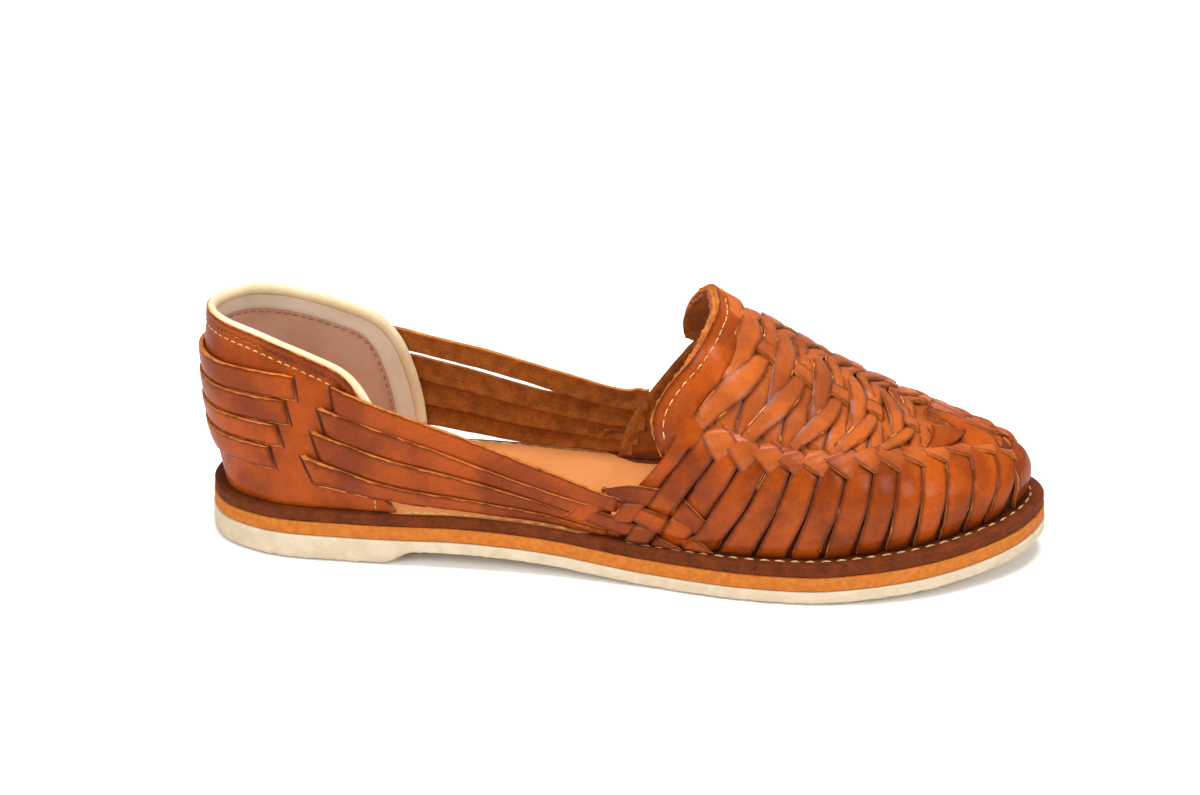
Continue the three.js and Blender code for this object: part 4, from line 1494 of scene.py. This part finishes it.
    # chart distance of each unit of the herringbone at the ridge, and where its long strip ends over the foot
    UNITS = ((150.8, -.60, -.64), (161.8, -.58, -.62), (172.9, -.557, -.593), (185.0, -.518, -.546),
             (197.4, -.460, -.500), (211.6, -.395, -.425))
    INNER_SHIFT = 5.5
    # ends of the throat band, of its backing and of its seam, as places over the foot
    BAND_ENDS, BACKING_ENDS, SEAM_ENDS = (-0.745, 0.6), (-0.70, 0.585), (-0.70, 0.53)
    SEAM_INWARD = 2.3
    BAND_WALL = 1.7
    # station where the inner wall ends, just short of the toe's tip
    WALL_END = 0.4995
    SIDE_LEVELS = levels((0, 0.5), (0.1, -0.35), (0.6, -0.55), (0.83, -0.6), (0.93, 0.7), (1, DEEP))
    SIDE_STRIPS = 14
    PAD_LEVELS = levels((0, DEEP), (0.3, 0.8), (0.48, -0.6), (0.66, -1.15), (0.82, -0.3), (1, 0.9))
    # corners of a ledge pad's upper edge, from the next pad's peak
    PAD_CORNER, PAD_TIP = (-2.7, 0.078), (1.6, 0.058)

    def __init__(self, palette: Palette) -> None:
        """Vamp in the palette's finishes."""
        self.palette = palette
        self.charts = {side: Chart(side) for side in Side}
        self._rear = {side: smooth(self.REAR[side]) for side in Side}
        self._band_front = smooth(self.BAND_FRONT)

    def build(self) -> list[bpy.types.Object]:
        """Build the vamp from the inside out."""
        pieces = [self._wall(), self._band(), self._band_stitches()]
        for side in Side:
            pieces += [self._side_strips(side), self._forward_strips(side), self._ledge(side),
                       self._herringbone(side)]
        return pieces + [self._toe()]

    def _throat_start(self, over: float) -> float:
        """Chart distance of the throat's edge at a place over the foot."""
        return self._rear[Side.OUTER if over < 0 else Side.INNER](abs(over))

    def _wall_start(self, over: float) -> float:
        """Chart distance where the suede wall begins at a place over the foot."""
        if over < -0.7:
            return mix(139.0, 129.0, ease(-0.74, -1.0, over))
        return self._throat_start(over) + mix(9.0, 0.4, ease(0.45, 0.62, over))

    def _wall(self) -> bpy.types.Object:
        """Suede lining of the whole vamp, seen in the gaps and through the throat; its face side is darker,
        painted shade for the gaps.
        """
        work = Work("vamp_lining", seed=50)
        starts = {}

        def surface(s: float, t: float) -> Vector:
            """Point round the foot and along it."""
            over = mix(-1.0, 1.0, s)
            key = round(s, 4)
            if key not in starts:
                starts[key] = self._wall_start(over) / LAST.girth
            station = mix(starts[key], self.WALL_END, t)
            return LAST.around(station, over, mix(1.1, 1.9, ease(0.4, 0.6, abs(over))))
        work.sheet(surface, 72, 90, out_of_shoe, tint=0.5)
        return work.write([self.palette["wall_suede_shaded"], self.palette["strip_suede"]], "strip_leather",
                          ("upper",), wall=0.6, back=1)

    def _band(self) -> bpy.types.Object:
        """Throat band: one piece of leather round the opening, with a raw rear edge."""
        work = Work("throat_band", seed=51)
        starts = {}

        def surface(s: float, t: float) -> Vector:
            """Point across the band, from its rear edge, and round the throat."""
            over = mix(*self.BAND_ENDS, t)
            key = round(t, 4)
            if key not in starts:
                starts[key] = self._throat_start(over)
            rear = starts[key]
            low = ease(-0.58, -0.62, over)
            front = self._band_front(abs(over)) + mix(3.0, 0.2, low)
            place = mix(rear, front, s)
            if over < 0:
                low_end = ease(-0.665, -0.70, over) * (1 - ease(140.5, 142.5, place))
            else:
                low_end = ease(0.575, 0.6, over) * ease(0.0, 0.3, s)
            tuck = ease(0.62, 0.78, s) * (1 - low) + low_end
            flare = 0.8 * (1 - ease(0.0, 0.16, s))
            sway = 0.5 * noise.noise(Vector((place * 0.12, over * 4.0, 5.0)))
            inset = -0.7 - flare + min(tuck, 1.0) * 1.6 - sway * max(1 - tuck, 0)
            return LAST.around(place / LAST.girth, over, inset)
        work.sheet(surface, 24, 110, out_of_shoe, tint=0.35, raw=0.3)

        def backing(s: float, t: float) -> Vector:
            """Point across the band's suede backing, whose raw edge stands out behind the band's own."""
            over = mix(*self.BACKING_ENDS, t)
            out = mix(0.7, 1.7, ease(-0.6, -0.3, over)) * (1 - 0.8 * ease(0.05, 0.3, over))
            out += 0.5 * noise.noise(Vector((t * 60.0, 3.0, 1.0)))
            place = self._throat_start(over) + mix(-out, 5.0, s)
            return LAST.around(place / LAST.girth, over, mix(0.1, 0.9, s) + 1.6 * ease(-0.65, -0.70, over))
        work.sheet(backing, 6, 200, out_of_shoe, slot=1, raw=0.0)
        return strip_piece(work, self.palette, wall=self.BAND_WALL)

    def _band_stitches(self) -> bpy.types.Object:
        """Cream stitches along the throat's edge."""
        work = Work("throat_stitches", seed=52)

        def line(share: float) -> tuple[Vector, Vector]:
            """Point of the seam and the way out."""
            over = mix(*self.SEAM_ENDS, share)
            station = (self._throat_start(over) + self.SEAM_INWARD) / LAST.girth
            point = LAST.around(station, over, -1.0)
            return point, out_of_shoe(point)
        work.seam(line, pitch=3.3, length=2.3, radius=0.2)
        return work.write([self.palette["cream_thread"]], "strip_leather")

    def _side_strips(self, side: Side) -> bpy.types.Object:
        """Row of strips that rise from the board round the forefoot."""
        work = Work(f"{side.name.lower()}_side_strips", seed=60 if side is Side.OUTER else 61)
        chart = self.charts[side]
        for number in range(self.SIDE_STRIPS):
            left, right = self.SEAMS[number], self.SEAMS[number + 1]
            top_left = Vector(left[3]) + Vector((1.4, 0.07))
            top_right = Vector(right[2]) + Vector((2.0, 0.085))
            steps = self.CROSSED[number] if number < len(self.CROSSED) else self.SIDE_LEVELS
            open_foot = 0.45 + 0.5 * ease(3, 9, number)
            foot_left = Vector(left[0]) + Vector((open_foot, 0))
            foot_right = Vector(right[0]) - Vector((open_foot, 0))
            strip = Strip(
                (tuple(foot_left), left[1], left[2], tuple(top_left)),
                (tuple(foot_right), right[1], right[2], tuple(top_right)),
                steps, crown=0.3, trim=0.15, rows=44, skew=0.2)
            lay(work, strip, chart, number * 3.1 + side.value, raw=0.32)
        return strip_piece(work, self.palette)

    def _forward_strips(self, side: Side) -> bpy.types.Object:
        """Strips that run on from the straps and cross the first side strips."""
        work = Work(f"{side.name.lower()}_forward_strips", seed=62 if side is Side.OUTER else 63)
        chart = self.charts[side]
        for number, (upper, lower, steps) in enumerate(self.FORWARD):
            if side is Side.INNER:
                steps = (Level(0.0, -0.1), *steps[1:])
            strip = Strip(upper, lower, steps, crown=0.22, rows=60)
            lay(work, strip, chart, number * 2.3 + 40, raw=0.35)
        if side is Side.INNER:
            return strip_piece(work, self.palette)
        bridge = Strip(((127.2, -.905), (125.0, -.934), (122.3, -.966), (119.8, -.985)),
                       ((122.0, -.900), (119.9, -.930), (117.5, -.960), (115.2, -.980)),
                       levels((0, DEEP), (0.3, OVER), (0.72, OVER), (1, DEEP)), rows=24)
        lay(work, bridge, chart, 47.0)
        return strip_piece(work, self.palette)

    def _ledge(self, side: Side) -> bpy.types.Object:
        """Short strips that lie over the tops of the side strips, like shingles."""
        work = Work(f"{side.name.lower()}_ledge_strips", seed=64 if side is Side.OUTER else 65)
        chart = self.charts[side]
        for number in range(1 if side is Side.OUTER else 0, self.SIDE_STRIPS):
            peak, valley = Vector(self.SEAMS[number][3]), Vector(self.SEAMS[number + 1][2])
            following = Vector(self.SEAMS[number + 1][3])
            corner = following + Vector(self.PAD_CORNER)
            lower = (peak + Vector((-2.4, 0.11)), peak + Vector((-0.6, 0.05)), peak, valley,
                     valley.lerp(peak, -0.45))
            upper = (corner + Vector((-2.2, 0.035)), corner, following + Vector(self.PAD_TIP),
                     following + Vector((3.6, 0.02)), following + Vector((4.4, -0.02)))
            strip = Strip(tuple(map(tuple, lower)), tuple(map(tuple, upper)), self.PAD_LEVELS, crown=0.15,
                          trim=0.08, tilt=0.9, soft=0.2, rows=32)
            lay(work, strip, chart, number * 4.7 + 80, raw=0.15)
        # crest finish: lighter colours as painted highlight on the pads that face the lights
        return strip_piece(work, self.palette, face="crest_glossy_lit")

    def _herringbone(self, side: Side) -> bpy.types.Object:
        """Long strips, petals, ridge strips and tiles from the throat to the toe."""
        work = Work(f"{side.name.lower()}_herringbone", seed=66 if side is Side.OUTER else 67)
        chart = self.charts[side]
        shift = 0.0 if side is Side.OUTER else self.INNER_SHIFT

        def ground(s: float, t: float) -> Vector:
            """Leather that fills the deepest gaps between the strips."""
            return chart.at(mix(156.0, 270.6, t), mix(0.07, mix(-0.55, -0.3, t), s), 0.75)
        work.sheet(ground, 14, 40, out_of_shoe, tint=1.0, raw=0.0)
        for number, (at, end_left, end_right) in enumerate(self.UNITS):
            at += shift
            size = mix(1.0, 0.92, number / 5)
            for kind, strip in self._unit(at, end_left, end_right, size).items():
                if number == 0 and kind != "ridge":
                    continue
                lay(work, strip, chart, number * 5.3 + len(kind), raw=0.38)
        # crest finish: lighter colours as painted highlight on the ridge strips that face the lights
        return strip_piece(work, self.palette, face="crest_glossy_lit")

    @staticmethod
    def _unit(at: float, end_left: float, end_right: float, size: float) -> dict[str, Strip]:
        """Strips of one unit of the herringbone.

        Args:
            at: chart distance of the unit at the ridge.
            end_left: place over the foot where the long strip's rear edge ends.
            end_right: the same for its front edge.
            size: scale of the unit's widths.

        Returns:
            The strips by kind.
        """
        def down(rows: Sequence[Flat], end: float) -> tuple[Flat, ...]:
            """Edge whose second number is a share of the way down to the end."""
            return tuple((at + along * size, -.222 + (end + .222) * share) for along, share in rows)

        def fixed(rows: Sequence[Flat]) -> tuple[Flat, ...]:
            """Edge given by its own places over the foot."""
            return tuple((at + along * size, over) for along, over in rows)

        deep_end = (end_left + end_right) / 2
        return {
            "recess": Strip(
                fixed(((0.5, -.18), (-3.3, -.31), (-5.6, -.43), (-8.8, deep_end - .02))),
                fixed(((6.0, -.18), (2.6, -.31), (.8, -.43), (-2.2, deep_end - .02))),
                levels((0, DEEP), (0.25, 0.6), (0.7, 0.1), (0.9, 0.3), (1, DEEP)), rows=24),
            "petal": Strip(
                fixed(((-5.4, .05), (-4.8, 0), (-6.4, -.11), (-8.3, -.22), (-9.9, -.33), (-11.2, -.43),
                       (-13.6, deep_end - .03))),
                fixed(((-3.4, .05), (-.4, 0), (1.1, -.10), (-2.2, -.22), (-3.9, -.32), (-5.6, -.43),
                       (-8.6, deep_end - .03))),
                levels((0, UNDER), (0.1, -0.4), (0.25, -1.4), (0.42, -1.2), (0.55, 0.4), (0.68, 0.4),
                       (0.8, -0.1), (0.92, 0.2), (1, DEEP)), crown=0.28, rows=44),
            "ridge": Strip(
                fixed(((-7.5, .16), (-4.2, .068), (-1.4, .042), (1.1, -.01), (1.6, -.06), (0.0, -.15))),
                fixed(((-1.0, .16), (3.0, .085), (5.4, .035), (6.7, -.02), (6.4, -.08), (4.6, -.16))),
                levels((0, DEEP), (0.2, -0.5), (0.45, -1.3), (0.75, -1.0), (1, 0.9)), crown=0.3, rows=30),
            "long": Strip(
                fixed(((1.2, -.13),))
                + down(((-2.2, 0), (-6.0, .27), (-11.4, .64), (-16.7, 1.0), (-19.0, 1.14)), end_left),
                fixed(((5.6, -.13),))
                + down(((2.2, 0), (.2, .22), (-5.4, .59), (-13.8, 1.0), (-16.6, 1.14)), end_right),
                levels((0, DEEP), (0.14, 0.5), (0.26, -0.8), (0.5, -1.15), (0.78, -0.95), (0.9, 0.0),
                       (1, DEEP)), crown=0.28, rows=44),
            "tile": Strip(
                fixed(((-1.6, -.105), (.9, -.112), (3.4, -.114), (6.0, -.118), (8.0, -.12))),
                fixed(((-4.0, -.19), (-1.6, -.196), (.6, -.206), (3.0, -.215), (5.0, -.22))),
                levels((0, UNDER), (0.22, -0.7), (0.5, -1.0), (0.78, -0.7), (1, UNDER)), rows=20, crown=0.15),
        }

    def _toe(self) -> bpy.types.Object:
        """Strips that close the toe: one over the top from each side and one round the front."""
        work = Work("toe_strips", seed=70)
        for side in Side:
            chart = self.charts[side]
            broad = Strip(
                ((222.0, -.12), (221.0, -.20), (214.5, -.33), (208.5, -.42)),
                ((251.0, -.06), (240.0, -.16), (230.0, -.25), (221.0, -.34)),
                levels((0, DEEP), (0.18, -0.9), (0.75, -0.9), (1, DEEP)), columns=8)
            lay(work, broad, chart, 3.3, raw=0.15)
            cap = Strip(
                ((226.0, .06), (236.0, -.06), (236.0, -.18), (229.0, -.33)),
                ((270.4, .06), (269.0, -.08), (260.0, -.26), (250.0, -.40)),
                levels((0, -0.4), (0.2, -0.6), (0.8, -0.2), (1, DEEP)), columns=12)
            lay(work, cap, chart, 6.1, raw=0.1)

        def front(s: float, t: float) -> Vector:
            """Strip round the front of the toe, across it and up from the board."""
            turn = mix(0.462, 0.538, s)
            inset = mix(0.2, -0.5, ease(0, 0.3, t)) + 0.9 * ease(0.7, 1, t)
            return LAST.skin(turn, mix(0.0, 0.62, t), inset)
        work.sheet(front, 14, 20, out_of_shoe)
        return strip_piece(work, self.palette)


# ---------------------------------------------------------------- the shoe
def main() -> None:
    """Build the studio and then the shoe, from the sole up."""
    palette = Palette()
    Studio(palette).build()
    builders = (Sole(palette), Heel(palette), Straps(palette), Vamp(palette))
    for builder in builders:
        pieces = builder.build()
        LOG.info("%s: %d pieces", type(builder).__name__, len(pieces))


if __name__ == "__main__":
    main()
